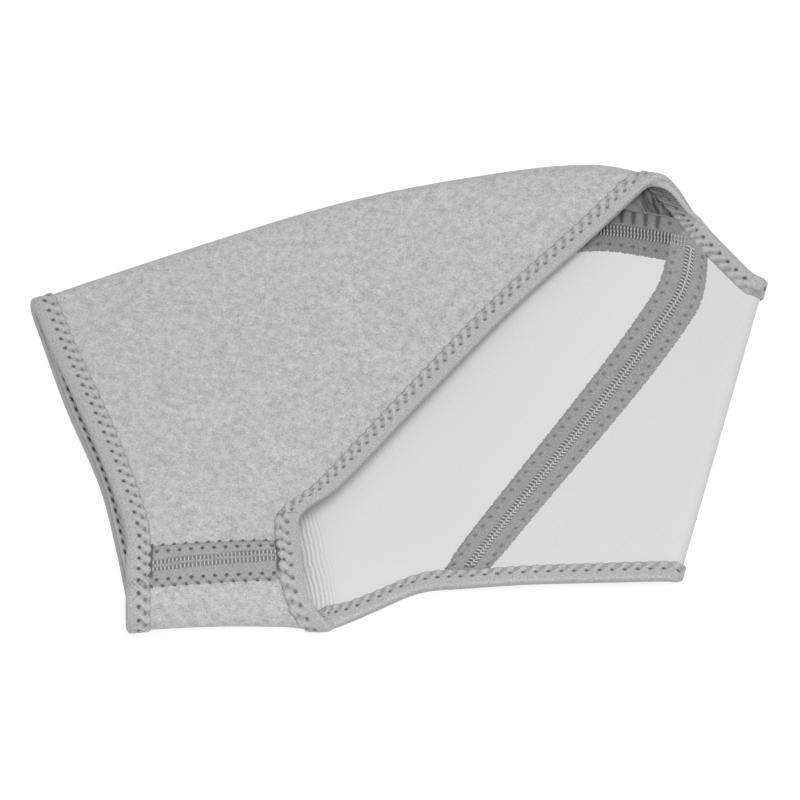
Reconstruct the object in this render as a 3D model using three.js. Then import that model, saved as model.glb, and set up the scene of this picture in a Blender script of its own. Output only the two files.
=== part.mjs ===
// Shoulder support lying on a table: an arm sleeve whose back panel runs on into a chest band.
// Millimetres, +Z up, the table at z = 0, the cuff towards -X and the band towards +X.
import * as THREE from 'three';

// Cloth: grey knit outside and white ribbed lining inside, measured from the middle of the wall
const HALF_WALL = 1.55;
const OUTER_INNER_FACE = 0.05;
const LINING_OUTER_FACE = -0.25;

// Bindings fold round the cut edges, tapes lie flat over the seams
const BINDING_WIDTH = 8.4;
const BINDING_THICK = 1.0;
const SEWN_GAP = 0.45;
const BINDING_INSIDE = HALF_WALL + SEWN_GAP;
const BINDING_OUTSIDE = BINDING_INSIDE + BINDING_THICK;
const EDGE_GAP = 0.8;
const BINDING_ROLL = EDGE_GAP + BINDING_THICK;
const BINDING_ROLL_HEIGHT = 0.55 * BINDING_OUTSIDE;
const TAPE_WIDTH = 20;
const TAPE_THICK = 0.8;

// Heights of the cloth that lies on the table
const REST_HEIGHT = BINDING_OUTSIDE;
const SAG_TO_TABLE = REST_HEIGHT - HALF_WALL;
const FOLD_RADIUS = 3.4;
const FLAP_LENGTH = 45;
const FLAP_SHIFT = 4;
const LIFT = 2 * FOLD_RADIUS;
const LIFT_RUN = { full: FLAP_LENGTH + 4, none: FLAP_LENGTH + 85 };

// Point of the table below the middle of the whole, which becomes the origin
const TABLE_CENTRE = new THREE.Vector3(-0.51, -6.54, -0.02);

// Columns of the sleeve panel run from the cuff to the slanted seam, rows from the underarm seam
// up the front, over the shoulder fold and down the back
const EVEN_COLUMNS = 16;
const COLUMN_SHARES = [...Array.from({ length: EVEN_COLUMNS }, (_, i) => i / EVEN_COLUMNS), 0.97, 1];
const COLUMNS = COLUMN_SHARES.length - 1;
const ARMPIT_COLUMN = 8;
const ARMPIT_SHARE_ACROSS = COLUMN_SHARES[ARMPIT_COLUMN];
const FRONT_ROWS = 12;
const FOLD_ROWS = 8;
const BACK_ROWS = [0, 0.05, 0.152, 0.25, 0.35, 0.45, 0.55, 0.65, 0.75, 0.85, 0.94, 1];
const UNDERARM_ROWS = 7;
const BAND_COLUMNS = { flat: 6, fold: 8, flap: 3 };
const BUTT_GAP = 0.4;

// Where the bindings meet, in rows and columns, and how far the tapes run between them
const CORNER_ROW = 1;
const NECK_JOIN = 4;
const JOIN_SHARE = 0.08;
const ARMPIT_SHARE = 0.3;
const UNDERARM_TAPE = { from: 1.2, to: 6.8 };
const BACK_TAPE = { from: 1.25, to: 9.8 };
const SHOULDER_TAPE_END = 8;

// Lines of the sleeve in plan and height; the column at is the share of the way along each line
const UNDERARM_SEAM = [
  { at: 0, x: -112.6, y: -96, z: 24 },
  { at: 0.5, x: -78, y: -91, z: 20.5 },
  { at: 1, x: -42.4, y: -88, z: 18 },
];
const CUFF_FRONT = [
  { at: 0, x: -112.6, y: -96, z: 24 },
  { at: 0.12, x: -112.6, y: -80, z: 26 },
  { at: 0.3, x: -119, y: -56, z: 25.5 },
  { at: 0.55, x: -130.4, y: -22.4, z: 22 },
  { at: 0.8, x: -142.8, y: 10, z: 17.5 },
  { at: 1, x: -151.5, y: 35, z: 14.5 },
];
const FRONT_EDGE = [
  { at: 0, x: -42.4, y: -88, z: 18 },
  { at: 0.083, x: -43.5, y: -65, z: 15.5 },
  { at: 0.175, x: -27.5, y: -49.5, z: 13.5 },
  { at: 0.43, x: 11.3, y: -2.5, z: 12 },
  { at: 0.657, x: 46.6, y: 38.5, z: 13 },
  { at: 0.848, x: 79, y: 69.8, z: 17 },
  { at: 1, x: 103.5, y: 93.3, z: 22 },
];
const SHOULDER_FOLD = [
  { at: 0, x: -151.5, y: 35, z: 14.5, front: 8, back: 8, lean: 0 },
  { at: 0.25, x: -86, y: 60, z: 14, front: 9, back: 9, lean: 0 },
  { at: 0.5, x: -21, y: 82.5, z: 14.5, front: 9, back: 9, lean: 0 },
  { at: 0.74, x: 39, y: 94.8, z: 16.5, front: 9, back: 9, lean: 0 },
  { at: 0.9, x: 79.5, y: 97.1, z: 20, front: 10, back: 9, lean: 0.3 },
  { at: 1, x: 103.5, y: 93.3, z: 22, front: 12, back: 8, lean: 1 },
];
const BACK_TOP = [
  { at: 0, x: -151.5, y: 35 },
  { at: 0.25, x: -86, y: 60 },
  { at: 0.5, x: -21, y: 82.5 },
  { at: 0.74, x: 39, y: 94.8 },
  { at: 0.9, x: 84, y: 96.1 },
  { at: 1, x: 124, y: 81 },
];
const CUFF_BACK = [
  { at: 0, x: -151.5, y: 35 },
  { at: 0.3, x: -139, y: -4 },
  { at: 0.6, x: -124.2, y: -43 },
  { at: 0.85, x: -116.8, y: -75 },
  { at: 1, x: -112.6, y: -98 },
];
const SLANTED_SEAM = [
  { at: 0, x: 124, y: 81 },
  { at: 0.21, x: 115.9, y: 41.5 },
  { at: 1, x: 24, y: -93 },
];
const BACK_BOTTOM = [
  { at: 0, x: -112.6, y: -98 },
  { at: 0.25, x: -75, y: -101.5 },
  { at: 0.4, x: -48, y: -105 },
  { at: 0.5, x: -29.4, y: -108.4 },
  { at: 0.62, x: -11.3, y: -102 },
  { at: 0.72, x: 0.4, y: -96.4 },
  { at: 0.82, x: 10.5, y: -93.3 },
  { at: 1, x: 24, y: -93 },
];

// How far the cloth reaches out from both sides of the underarm roll, from the cuff to the armpit
const UNDERARM_ROLL = [
  { at: 0, low: 25, high: 25 },
  { at: 0.5, low: 18, high: 22 },
  { at: 1, low: 8, high: 23 },
];

// Line about which the band turns under, from the neck edge to the hem
const TURN_TOP = new THREE.Vector3(148.2, 52.7, 0);
const TURN_BOTTOM = new THREE.Vector3(111.5, -90.8, 0);
const UP = new THREE.Vector3(0, 0, 1);
const TURN_ALONG = TURN_BOTTOM.clone().sub(TURN_TOP).normalize();
const TURN_OUT = TURN_ALONG.clone().cross(UP).negate();

// A smooth line through the rows of a table, one cubic between each two rows
function line(rows, columns = ['x', 'y', 'z']) {
  const slope = (k, column) => {
    const before = rows[Math.max(k - 1, 0)];
    const after = rows[Math.min(k + 1, rows.length - 1)];
    return ((after[column] ?? 0) - (before[column] ?? 0)) / (after.at - before.at);
  };
  return (at) => {
    const last = rows.length - 2;
    const found = rows.findIndex((row, index) => index <= last && at <= rows[index + 1].at);
    const k = found < 0 ? last : found;
    const span = rows[k + 1].at - rows[k].at;
    const s = (at - rows[k].at) / span;
    const values = columns.map((column) => {
      const from = rows[k][column] ?? 0;
      const to = rows[k + 1][column] ?? 0;
      const rise = to - from;
      const a = slope(k, column) * span - rise;
      const b = rise - slope(k + 1, column) * span;
      return from + s * rise + s * (1 - s) * ((1 - s) * a + s * b);
    });
    return columns.length === 1 ? values[0] : new THREE.Vector3(...values);
  };
}

const underarmSeam = line(UNDERARM_SEAM);
const cuffFront = line(CUFF_FRONT);
const frontEdge = line(FRONT_EDGE);
const shoulderFold = line(SHOULDER_FOLD);
const shoulderReach = line(SHOULDER_FOLD, ['front', 'back', 'lean']);
const backTop = line(BACK_TOP);
const cuffBack = line(CUFF_BACK);
const slantedSeam = line(SLANTED_SEAM);
const backBottom = line(BACK_BOTTOM);
const underarmReach = line(UNDERARM_ROLL, ['low', 'high']);

const mix = (a, b, share) => a.clone().lerp(b, share);
const smooth = (from, to, value) => THREE.MathUtils.smoothstep(value, from, to);

// A surface that fills the four lines round it
function fillBetween(left, right, low, high) {
  const corners = [left(0), right(0), left(1), right(1)];
  return (across, up) => {
    const sides = mix(left(up), right(up), across);
    const ends = mix(low(across), high(across), up);
    const flat = mix(mix(corners[0], corners[1], across), mix(corners[2], corners[3], across), up);
    return sides.add(ends).sub(flat);
  };
}

const frontCloth = fillBetween(cuffFront, frontEdge, underarmSeam, shoulderFold);
const backPlan = fillBetween(cuffBack, slantedSeam, backTop, backBottom);

// Height of the lower cloth: up over the turned-under flap, down to the table between the bindings
function clothHeight(point, sag) {
  const inward = -point.clone().sub(TURN_TOP).dot(TURN_OUT);
  const lifted = 1 - smooth(LIFT_RUN.full, LIFT_RUN.none, inward);
  return REST_HEIGHT + LIFT * lifted - SAG_TO_TABLE * sag * (1 - lifted);
}

function backCloth(across, down) {
  const point = backPlan(across, down);
  const sag = smooth(0.05, 0.2, across) * (1 - smooth(0.75, 0.92, down));
  point.z = clothHeight(point, sag);
  return point;
}

// The cloth turns over at the shoulder in a half round; towards the neck it leans along the fold
function shoulderTurn(across, turned) {
  const front = shoulderFold(across);
  const back = backCloth(across, 0);
  const step = 0.01;
  const along = shoulderFold(Math.min(across + step, 1)).sub(shoulderFold(Math.max(across - step, 0)));
  along.setZ(0).normalize();
  const out = UP.clone().cross(along);
  const { x: frontReach, y: backReach, z: lean } = shoulderReach(across);
  const leaning = (side, reach) => out.clone().addScaledVector(along, side * lean).setLength(reach);
  const frontHandle = leaning(1, frontReach).add(front);
  const backHandle = leaning(-1, backReach).add(back);
  return new THREE.CubicBezierCurve3(front, frontHandle, backHandle, back).getPoint(turned);
}

// The cloth rolls up from the table to the underarm seam
function underarmTurn(along, turned) {
  const across = along * ARMPIT_SHARE_ACROSS;
  const low = backCloth(across, 1);
  const high = underarmSeam(along);
  high.y -= BUTT_GAP;
  const reach = underarmReach(along);
  const lowHandle = low.clone().setY(low.y - reach.x);
  const highHandle = high.clone().setY(high.y - reach.y);
  return new THREE.CubicBezierCurve3(low, lowHandle, highHandle, high).getPoint(turned);
}

// A panel is a list of points joined by four-sided cells, each point with its outward normal
function panel(points, cells) {
  const normals = points.map(() => new THREE.Vector3());
  for (const [a, b, c, d] of cells) {
    const diagonal = points[c].clone().sub(points[a]);
    const normal = diagonal.cross(points[d].clone().sub(points[b]));
    for (const corner of [a, b, c, d]) normals[corner].add(normal);
  }
  normals.forEach((normal) => normal.normalize());
  return { points, normals, cells };
}

function gridCells(columns, rows, index) {
  const cells = [];
  for (let i = 0; i < columns; i += 1) {
    for (let j = 0; j < rows; j += 1) {
      cells.push([index(i, j), index(i + 1, j), index(i + 1, j + 1), index(i, j + 1)]);
    }
  }
  return cells;
}

const BACK_START = FRONT_ROWS + FOLD_ROWS;
const SLEEVE_ROWS = BACK_START + BACK_ROWS.length - 1;
const sleeveIndex = (i, j) => i * (SLEEVE_ROWS + 1) + j;
const underarmStart = (COLUMNS + 1) * (SLEEVE_ROWS + 1);
const underarmIndex = (i, j) => (
  j === 0 ? sleeveIndex(i, SLEEVE_ROWS) : underarmStart + i * UNDERARM_ROWS + j - 1
);

function sleevePoint(i, j) {
  const across = COLUMN_SHARES[i];
  if (j <= FRONT_ROWS) return frontCloth(across, j / FRONT_ROWS);
  if (j < BACK_START) return shoulderTurn(across, (j - FRONT_ROWS) / FOLD_ROWS);
  return backCloth(across, BACK_ROWS[j - BACK_START]);
}

function makeSleeve() {
  const points = [];
  for (let i = 0; i <= COLUMNS; i += 1) {
    for (let j = 0; j <= SLEEVE_ROWS; j += 1) points.push(sleevePoint(i, j));
  }
  for (let i = 0; i <= ARMPIT_COLUMN; i += 1) {
    for (let j = 1; j <= UNDERARM_ROWS; j += 1) {
      points.push(underarmTurn(i / ARMPIT_COLUMN, j / UNDERARM_ROWS));
    }
  }
  const body = gridCells(COLUMNS, SLEEVE_ROWS, sleeveIndex);
  const underarm = gridCells(ARMPIT_COLUMN, UNDERARM_ROWS, underarmIndex)
    .map(([a, b, c, d]) => [b, c, d, a]);
  return panel(points, [...body, ...underarm]);
}

const BAND_WIDTH_ROWS = BACK_ROWS.length - 1;
const BAND_TURN = BAND_COLUMNS.flat + BAND_COLUMNS.fold;
const BAND_END = BAND_TURN + BAND_COLUMNS.flap;
const bandIndex = (i, j) => i * (BAND_WIDTH_ROWS + 1) + j;

// The band runs flat from the slanted seam, turns under and comes back as a short flap, which lies
// a little further up than the band
function bandPoint(i, j) {
  const down = BACK_ROWS[j];
  const turn = mix(TURN_TOP, TURN_BOTTOM, down);
  if (i <= BAND_COLUMNS.flat) {
    const seam = slantedSeam(down);
    seam.addScaledVector(TURN_OUT, BUTT_GAP);
    const point = mix(seam, turn, i / BAND_COLUMNS.flat);
    point.z = clothHeight(point, 0);
    return point;
  }
  const angle = Math.PI * Math.min((i - BAND_COLUMNS.flat) / BAND_COLUMNS.fold, 1);
  const back = FLAP_LENGTH * Math.max(i - BAND_TURN, 0) / BAND_COLUMNS.flap;
  turn.addScaledVector(TURN_OUT, FOLD_RADIUS * Math.sin(angle) - back);
  turn.addScaledVector(TURN_ALONG, FLAP_SHIFT * (Math.cos(angle) - 1) / 2);
  turn.z = REST_HEIGHT + FOLD_RADIUS * (1 + Math.cos(angle));
  return turn;
}

function makeBand() {
  const points = [];
  for (let i = 0; i <= BAND_END; i += 1) {
    for (let j = 0; j <= BAND_WIDTH_ROWS; j += 1) points.push(bandPoint(i, j));
  }
  return panel(points, gridCells(BAND_END, BAND_WIDTH_ROWS, bandIndex));
}

// Turns lists of points and faces into a geometry, facing outwards
function geometryOf(points, faces) {
  let volume = 0;
  const index = [];
  for (const face of faces) {
    for (let k = 1; k < face.length - 1; k += 1) {
      const [a, b, c] = [face[0], face[k], face[k + 1]];
      volume += points[a].dot(points[b].clone().cross(points[c]));
      index.push(a, b, c);
    }
  }
  if (volume < 0) index.reverse();
  const geometry = new THREE.BufferGeometry().setFromPoints(points);
  geometry.setIndex(index);
  geometry.computeVertexNormals();
  return geometry;
}

// Gives a panel its thickness between two distances from the middle of the wall
function thicken({ points, normals, cells }, inner, outer) {
  const count = points.length;
  const raised = (distance) => points.map((p, k) => p.clone().addScaledVector(normals[k], distance));
  const faces = [];
  const edges = new Set();
  for (const cell of cells) {
    const [a, b, c, d] = cell;
    faces.push(cell, [a, d, c, b].map((k) => k + count));
    cell.forEach((from, k) => edges.add(`${from} ${cell[(k + 1) % cell.length]}`));
  }
  for (const edge of edges) {
    const [from, to] = edge.split(' ').map(Number);
    if (!edges.has(`${to} ${from}`)) faces.push([from, from + count, to + count, to]);
  }
  return geometryOf([...raised(outer), ...raised(inner)], faces);
}

// Joins like sections into one closed body: a loop, or a run with flat ends of the contour's shape
function sweep(sections, contour, closed = false) {
  const size = contour.length;
  const count = sections.length;
  const faces = [];
  for (let s = 0; s < (closed ? count : count - 1); s += 1) {
    const here = s * size;
    const there = ((s + 1) % count) * size;
    for (let k = 0; k < size; k += 1) {
      const next = (k + 1) % size;
      faces.push([here + k, there + k, there + next, here + next]);
    }
  }
  if (!closed) {
    const end = (count - 1) * size;
    const winding = (points) => Math.sign(THREE.ShapeUtils.area(points));
    for (const triangle of THREE.ShapeUtils.triangulateShape(contour, [])) {
      if (winding(triangle.map((k) => contour[k])) !== winding(contour)) triangle.reverse();
      faces.push(triangle, triangle.map((k) => k + end).reverse());
    }
  }
  return geometryOf(sections.flat(), faces);
}

// The place at a distance along a path of panel points, with its normal
function placeAt(cloth, path, distance) {
  let left = distance;
  let k = 0;
  const gap = () => cloth.points[path[k]].distanceTo(cloth.points[path[k + 1]]);
  while (k < path.length - 2 && left > gap()) {
    left -= gap();
    k += 1;
  }
  const share = left / gap();
  const normal = mix(cloth.normals[path[k]], cloth.normals[path[k + 1]], share).normalize();
  return { point: mix(cloth.points[path[k]], cloth.points[path[k + 1]], share), normal };
}

const raise = (place, height) => place.point.clone().addScaledVector(place.normal, height);
const blend = (from, to, share) => from.map((point, k) => mix(point, to[k], share));

// The section at a place between two whole ones
function sectionBetween(sectionAt, at) {
  const whole = Math.floor(at);
  return blend(sectionAt(whole), sectionAt(whole + 1), at - whole);
}

// A binding folds round the edge: two flanges on the cloth and a roll past it. The contour only tells
// how its ends close, so the middle of each flange stands a little off the line to stay a corner.
const BINDING_CONTOUR = [
  [2, 3], [1, 3.1], [0, 3], [-2, 1], [-2, -1], [0, -3], [1, -3.1], [2, -3],
  [2, -2], [1, -2.1], [-0.5, -2], [-0.5, 2], [1, 2.1], [2, 2],
].map(([x, y]) => new THREE.Vector2(x, y));

function bindingSection(places, along) {
  const [tip, middle, edge] = places;
  const out = edge.point.clone().sub(middle.point).projectOnPlane(along).normalize();
  const roll = (height, reach) => raise(edge, height).addScaledVector(out, reach);
  return [
    ...places.map((place) => raise(place, BINDING_OUTSIDE)),
    roll(BINDING_ROLL_HEIGHT, BINDING_ROLL),
    roll(-BINDING_ROLL_HEIGHT, BINDING_ROLL),
    ...[edge, middle, tip].map((place) => raise(place, -BINDING_OUTSIDE)),
    ...[tip, middle].map((place) => raise(place, -BINDING_INSIDE)),
    roll(-BINDING_INSIDE, EDGE_GAP),
    roll(BINDING_INSIDE, EDGE_GAP),
    ...[middle, tip].map((place) => raise(place, BINDING_INSIDE)),
  ];
}

// Sews a binding along stations that each hold the places of its tip, middle and edge
function sewBinding(stations, closed) {
  const last = stations.length - 1;
  const edgeAt = (k) => {
    const station = closed ? (k + stations.length) % stations.length : Math.min(Math.max(k, 0), last);
    return stations[station].at(-1).point;
  };
  const sections = stations.map((places, k) => (
    bindingSection(places, edgeAt(k + 1).clone().sub(edgeAt(k - 1)).normalize())
  ));
  if (!closed) sections[0] = blend(sections[0], sections[1], JOIN_SHARE);
  return sweep(sections, BINDING_CONTOUR, closed);
}

const bindingPlaces = (cloth, path) => (
  [BINDING_WIDTH, BINDING_WIDTH / 2, 0].map((inset) => placeAt(cloth, path, inset))
);

const blendPlaces = (from, to, share) => from.map(({ point, normal }, k) => ({
  point: mix(point, to[k].point, share),
  normal: mix(normal, to[k].normal, share).normalize(),
}));

// At a square corner the flange runs in along both edges at once
function mitrePlaces(cloth, first, second) {
  const corner = cloth.points[first[0]];
  const places = bindingPlaces(cloth, first);
  bindingPlaces(cloth, second).forEach((place, k) => places[k].point.add(place.point).sub(corner));
  return places;
}

const sleeve = makeSleeve();
const band = makeBand();
const PATH_STEPS = [0, 1, 2, 3];
const sleevePath = (i, j, right, down) => PATH_STEPS.map((k) => sleeveIndex(i + k * right, j + k * down));
const bandPath = (i, j, right, down) => PATH_STEPS.map((k) => bandIndex(i + k * right, j + k * down));
const underarmPath = (i, j, right) => PATH_STEPS.map((k) => underarmIndex(i + k * right, j));
const edgeOfSleeve = (...path) => bindingPlaces(sleeve, sleevePath(...path));
const edgeOfBand = (...path) => bindingPlaces(band, bandPath(...path));
const edgeOfUnderarm = (...path) => bindingPlaces(sleeve, underarmPath(...path));
const count = (from, to) => {
  const step = Math.sign(to - from);
  return Array.from({ length: Math.abs(to - from) + 1 }, (_, k) => from + k * step);
};

function cuffBinding() {
  const round = count(0, SLEEVE_ROWS).map((j) => edgeOfSleeve(0, j, 1, 0));
  const under = count(1, UNDERARM_ROWS - 1).map((j) => edgeOfUnderarm(0, j, 1));
  return sewBinding([...round, ...under], true);
}

// From the armpit corner up the front edge, over the shoulder and down the neck edge
function neckBinding() {
  const front = count(CORNER_ROW, BACK_START - 1).map((j) => edgeOfSleeve(COLUMNS, j, -1, 0));
  const top = edgeOfSleeve(COLUMNS, BACK_START, -1, 0);
  const neck = count(1, NECK_JOIN).map((i) => edgeOfBand(i, 0, 0, 1));
  return sewBinding([...front, top, ...neck], false);
}

// From the neck edge round the turned-under flap, along the hem and up round the armpit
function bandBinding() {
  const last = BAND_WIDTH_ROWS;
  const top = count(NECK_JOIN, BAND_END - 1).map((i) => edgeOfBand(i, 0, 0, 1));
  const end = count(2, last - 2).map((j) => edgeOfBand(BAND_END, j, -1, 0));
  const bottom = count(BAND_END - 1, 1).map((i) => edgeOfBand(i, last, 0, -1));
  const hem = count(COLUMNS, ARMPIT_COLUMN + 1).map((i) => edgeOfSleeve(i, SLEEVE_ROWS, 0, -1));
  const armpit = count(1, UNDERARM_ROWS - 1).map((j) => edgeOfUnderarm(ARMPIT_COLUMN, j, -1));
  const front = count(0, CORNER_ROW).map((j) => edgeOfSleeve(COLUMNS, j, -1, 0));
  return sewBinding([
    ...top,
    mitrePlaces(band, bandPath(BAND_END, 0, 0, 1), bandPath(BAND_END, 0, -1, 0)),
    ...end,
    mitrePlaces(band, bandPath(BAND_END, last, 0, -1), bandPath(BAND_END, last, -1, 0)),
    ...bottom,
    ...hem,
    edgeOfSleeve(ARMPIT_COLUMN, SLEEVE_ROWS, -1, -1),
    blendPlaces(edgeOfUnderarm(ARMPIT_COLUMN, 0, -1), armpit[0], ARMPIT_SHARE),
    ...armpit,
    ...front,
  ], false);
}

// A tape lies on one face of the cloth, from one long edge to the other, with a crowned contour
const crowned = (k, points, height) => new THREE.Vector2(k, height + 0.1 * k * (points - 1 - k));
const tapeContour = (points) => [
  ...count(0, points - 1).map((k) => crowned(k, points, 1)),
  ...count(points - 1, 0).map((k) => crowned(k, points, 0)),
];

function tapeSection(places, face) {
  const low = face * (HALF_WALL + SEWN_GAP);
  const high = low + face * TAPE_THICK;
  return [
    ...places.map((place) => raise(place, high)),
    ...[...places].reverse().map((place) => raise(place, low)),
  ];
}

const HALF_TAPE = [1, 0.67, 0.33, 0].map((share) => share * TAPE_WIDTH / 2);

// A tape over a butted seam, half on each side of it
function seamSection([firstCloth, firstPath], [secondCloth, secondPath], face) {
  const first = HALF_TAPE.map((inset) => placeAt(firstCloth, firstPath, inset));
  const second = HALF_TAPE.slice(0, -1).map((inset) => placeAt(secondCloth, secondPath, inset));
  return tapeSection([...first, ...second.reverse()], face);
}

function seamTape(sectionAt, from, to) {
  const whole = count(Math.ceil(from), Math.floor(to)).map(sectionAt);
  const ends = [from, to].map((at) => sectionBetween(sectionAt, at));
  return sweep([ends[0], ...whole, ends[1]], tapeContour(2 * HALF_TAPE.length - 1));
}

function underarmTape() {
  const perColumn = EVEN_COLUMNS / ARMPIT_COLUMN;
  const sectionAt = (k) => seamSection(
    [sleeve, sleevePath(k * perColumn, 0, 0, 1)],
    [sleeve, PATH_STEPS.map((step) => underarmIndex(k, UNDERARM_ROWS - step))],
    1,
  );
  return seamTape(sectionAt, UNDERARM_TAPE.from, UNDERARM_TAPE.to);
}

function backTape() {
  const sectionAt = (row) => seamSection(
    [sleeve, sleevePath(COLUMNS, BACK_START + row, -1, 0)],
    [band, bandPath(0, row, 1, 0)],
    -1,
  );
  return seamTape(sectionAt, BACK_TAPE.from, BACK_TAPE.to);
}

// The shoulder tape follows the fold inside and stops at the tape on the slanted seam
function shoulderTape() {
  const rows = [BACK_START + 1, BACK_START + 2];
  const placesAt = (i) => rows.map((j) => placeAt(sleeve, sleevePath(i, j, -1, 0), 0));
  const atSeam = TAPE_WIDTH / 2 + SEWN_GAP;
  const meeting = rows.map((j) => placeAt(sleeve, sleevePath(COLUMNS, j, -1, 0), atSeam));
  const along = count(COLUMNS - 1, SHOULDER_TAPE_END).map((i) => tapeSection(placesAt(i), -1));
  return sweep([tapeSection(meeting, -1), ...along], tapeContour(rows.length));
}

const FINISHES = {
  grey_knit: { color: 0xb9b9b9, roughness: 0.95, metalness: 0 },
  ribbed_lining: { color: 0xe2e2e0, roughness: 0.9, metalness: 0 },
  edge_binding: { color: 0xacacac, roughness: 0.85, metalness: 0 },
  seam_tape: { color: 0x9c9c9c, roughness: 0.85, metalness: 0 },
};

const pieces = [
  ['sleeve_outer', thicken(sleeve, OUTER_INNER_FACE, HALF_WALL), 'grey_knit'],
  ['sleeve_lining', thicken(sleeve, -HALF_WALL, LINING_OUTER_FACE), 'ribbed_lining'],
  ['band_outer', thicken(band, OUTER_INNER_FACE, HALF_WALL), 'grey_knit'],
  ['band_lining', thicken(band, -HALF_WALL, LINING_OUTER_FACE), 'ribbed_lining'],
  ['cuff_binding', cuffBinding(), 'edge_binding'],
  ['neck_binding', neckBinding(), 'edge_binding'],
  ['band_binding', bandBinding(), 'edge_binding'],
  ['underarm_tape', underarmTape(), 'seam_tape'],
  ['shoulder_tape', shoulderTape(), 'seam_tape'],
  ['back_tape', backTape(), 'seam_tape'],
];

const shoulderSupport = new THREE.Group();
for (const [name, geometry, finish] of pieces) {
  const mesh = new THREE.Mesh(geometry, new THREE.MeshStandardMaterial(FINISHES[finish]));
  mesh.name = name;
  shoulderSupport.add(mesh);
}
shoulderSupport.position.copy(TABLE_CENTRE).negate();

export default shoulderSupport;
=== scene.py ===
import math
from functools import partial

import bmesh
import bpy
import numpy as np
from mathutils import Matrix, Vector


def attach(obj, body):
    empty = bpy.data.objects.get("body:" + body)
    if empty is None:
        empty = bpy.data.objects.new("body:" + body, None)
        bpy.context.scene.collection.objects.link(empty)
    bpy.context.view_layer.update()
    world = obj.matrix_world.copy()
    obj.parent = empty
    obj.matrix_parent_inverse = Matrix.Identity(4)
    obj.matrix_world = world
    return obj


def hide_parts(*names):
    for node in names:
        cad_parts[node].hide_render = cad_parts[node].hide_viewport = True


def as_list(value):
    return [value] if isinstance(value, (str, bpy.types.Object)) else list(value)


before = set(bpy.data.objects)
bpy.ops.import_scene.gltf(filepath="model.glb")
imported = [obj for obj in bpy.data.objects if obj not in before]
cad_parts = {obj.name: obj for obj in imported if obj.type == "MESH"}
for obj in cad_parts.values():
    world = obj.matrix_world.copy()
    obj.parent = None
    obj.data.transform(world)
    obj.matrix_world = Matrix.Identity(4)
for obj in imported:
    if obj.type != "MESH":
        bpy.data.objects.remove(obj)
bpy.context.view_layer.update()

# Sizes are in millimetres, as the solids have them, and meshes in metres
MM = 0.001
TABLE_CENTRE = np.array([-0.51, -6.54, -0.02])
WELD = 0.01

# Cloth, bindings and tapes, measured from the middle of the wall
HALF_WALL = 1.55
WALL_LAYER = 1.3
SEWN_GAP = 0.25
BINDING_WIDTH = 8.4
BINDING_HEIGHT = 3.0
BINDING_ROLL = 1.8
ROLL_ARC = math.pi * (BINDING_HEIGHT + BINDING_ROLL) / 2
TAPE_WIDTH = 20.0
TAPE_THICK = 0.8

# Heights of the cloth that lies on the table
REST_HEIGHT = 3.0
SAG_TO_TABLE = REST_HEIGHT - HALF_WALL
SAG_ACROSS = (0.05, 0.2)
SAG_DOWN = (0.75, 0.92)
FOLD_RADIUS = 3.4
FOLD_STEP = 0.01
FLAP_LENGTH = 45.0
FLAP_SHIFT = 4.0
LIFT = 2 * FOLD_RADIUS
LIFT_FULL = FLAP_LENGTH + 4
LIFT_NONE = FLAP_LENGTH + 85
BUTT_GAP = 0.4
ARMPIT = 0.5

# Lines of the sleeve: share of the way along, x, y and, where the cloth is off the table, z
UNDERARM_SEAM = [
    (0.0, -112.6, -96.0, 24.0),
    (0.5, -78.0, -91.0, 20.5),
    (1.0, -42.4, -88.0, 18.0),
]
CUFF_FRONT = [
    (0.0, -112.6, -96.0, 24.0),
    (0.12, -112.6, -80.0, 26.0),
    (0.3, -119.0, -56.0, 25.5),
    (0.55, -130.4, -22.4, 22.0),
    (0.8, -142.8, 10.0, 17.5),
    (1.0, -151.5, 35.0, 14.5),
]
FRONT_EDGE = [
    (0.0, -42.4, -88.0, 18.0),
    (0.083, -43.5, -65.0, 15.5),
    (0.175, -27.5, -49.5, 13.5),
    (0.43, 11.3, -2.5, 12.0),
    (0.657, 46.6, 38.5, 13.0),
    (0.848, 79.0, 69.8, 17.0),
    (1.0, 103.5, 93.3, 22.0),
]
SHOULDER_FOLD = [
    (0.0, -151.5, 35.0, 14.5),
    (0.25, -86.0, 60.0, 14.0),
    (0.5, -21.0, 82.5, 14.5),
    (0.74, 39.0, 94.8, 16.5),
    (0.9, 79.5, 97.1, 20.0),
    (1.0, 103.5, 93.3, 22.0),
]
# How far the cloth reaches out at the shoulder, on its front and back, and how it leans there
SHOULDER_REACH = [
    (0.0, 8.0, 8.0, 0.0),
    (0.25, 9.0, 9.0, 0.0),
    (0.74, 9.0, 9.0, 0.0),
    (0.9, 10.0, 9.0, 0.3),
    (1.0, 12.0, 8.0, 1.0),
]
BACK_TOP = [row[:3] for row in SHOULDER_FOLD[:4]] + [(0.9, 84.0, 96.1), (1.0, 124.0, 81.0)]
CUFF_BACK = [
    (0.0, -151.5, 35.0),
    (0.3, -139.0, -4.0),
    (0.6, -124.2, -43.0),
    (0.85, -116.8, -75.0),
    (1.0, -112.6, -98.0),
]
SLANTED_SEAM = [
    (0.0, 124.0, 81.0),
    (0.21, 115.9, 41.5),
    (1.0, 24.0, -93.0),
]
BACK_BOTTOM = [
    (0.0, -112.6, -98.0),
    (0.25, -75.0, -101.5),
    (0.4, -48.0, -105.0),
    (0.5, -29.4, -108.4),
    (0.62, -11.3, -102.0),
    (0.72, 0.4, -96.4),
    (0.82, 10.5, -93.3),
    (1.0, 24.0, -93.0),
]
# How far the cloth reaches out from both sides of the underarm roll, from the cuff to the armpit
UNDERARM_ROLL = [
    (0.0, 25.0, 25.0),
    (0.5, 18.0, 22.0),
    (1.0, 8.0, 23.0),
]

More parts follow.
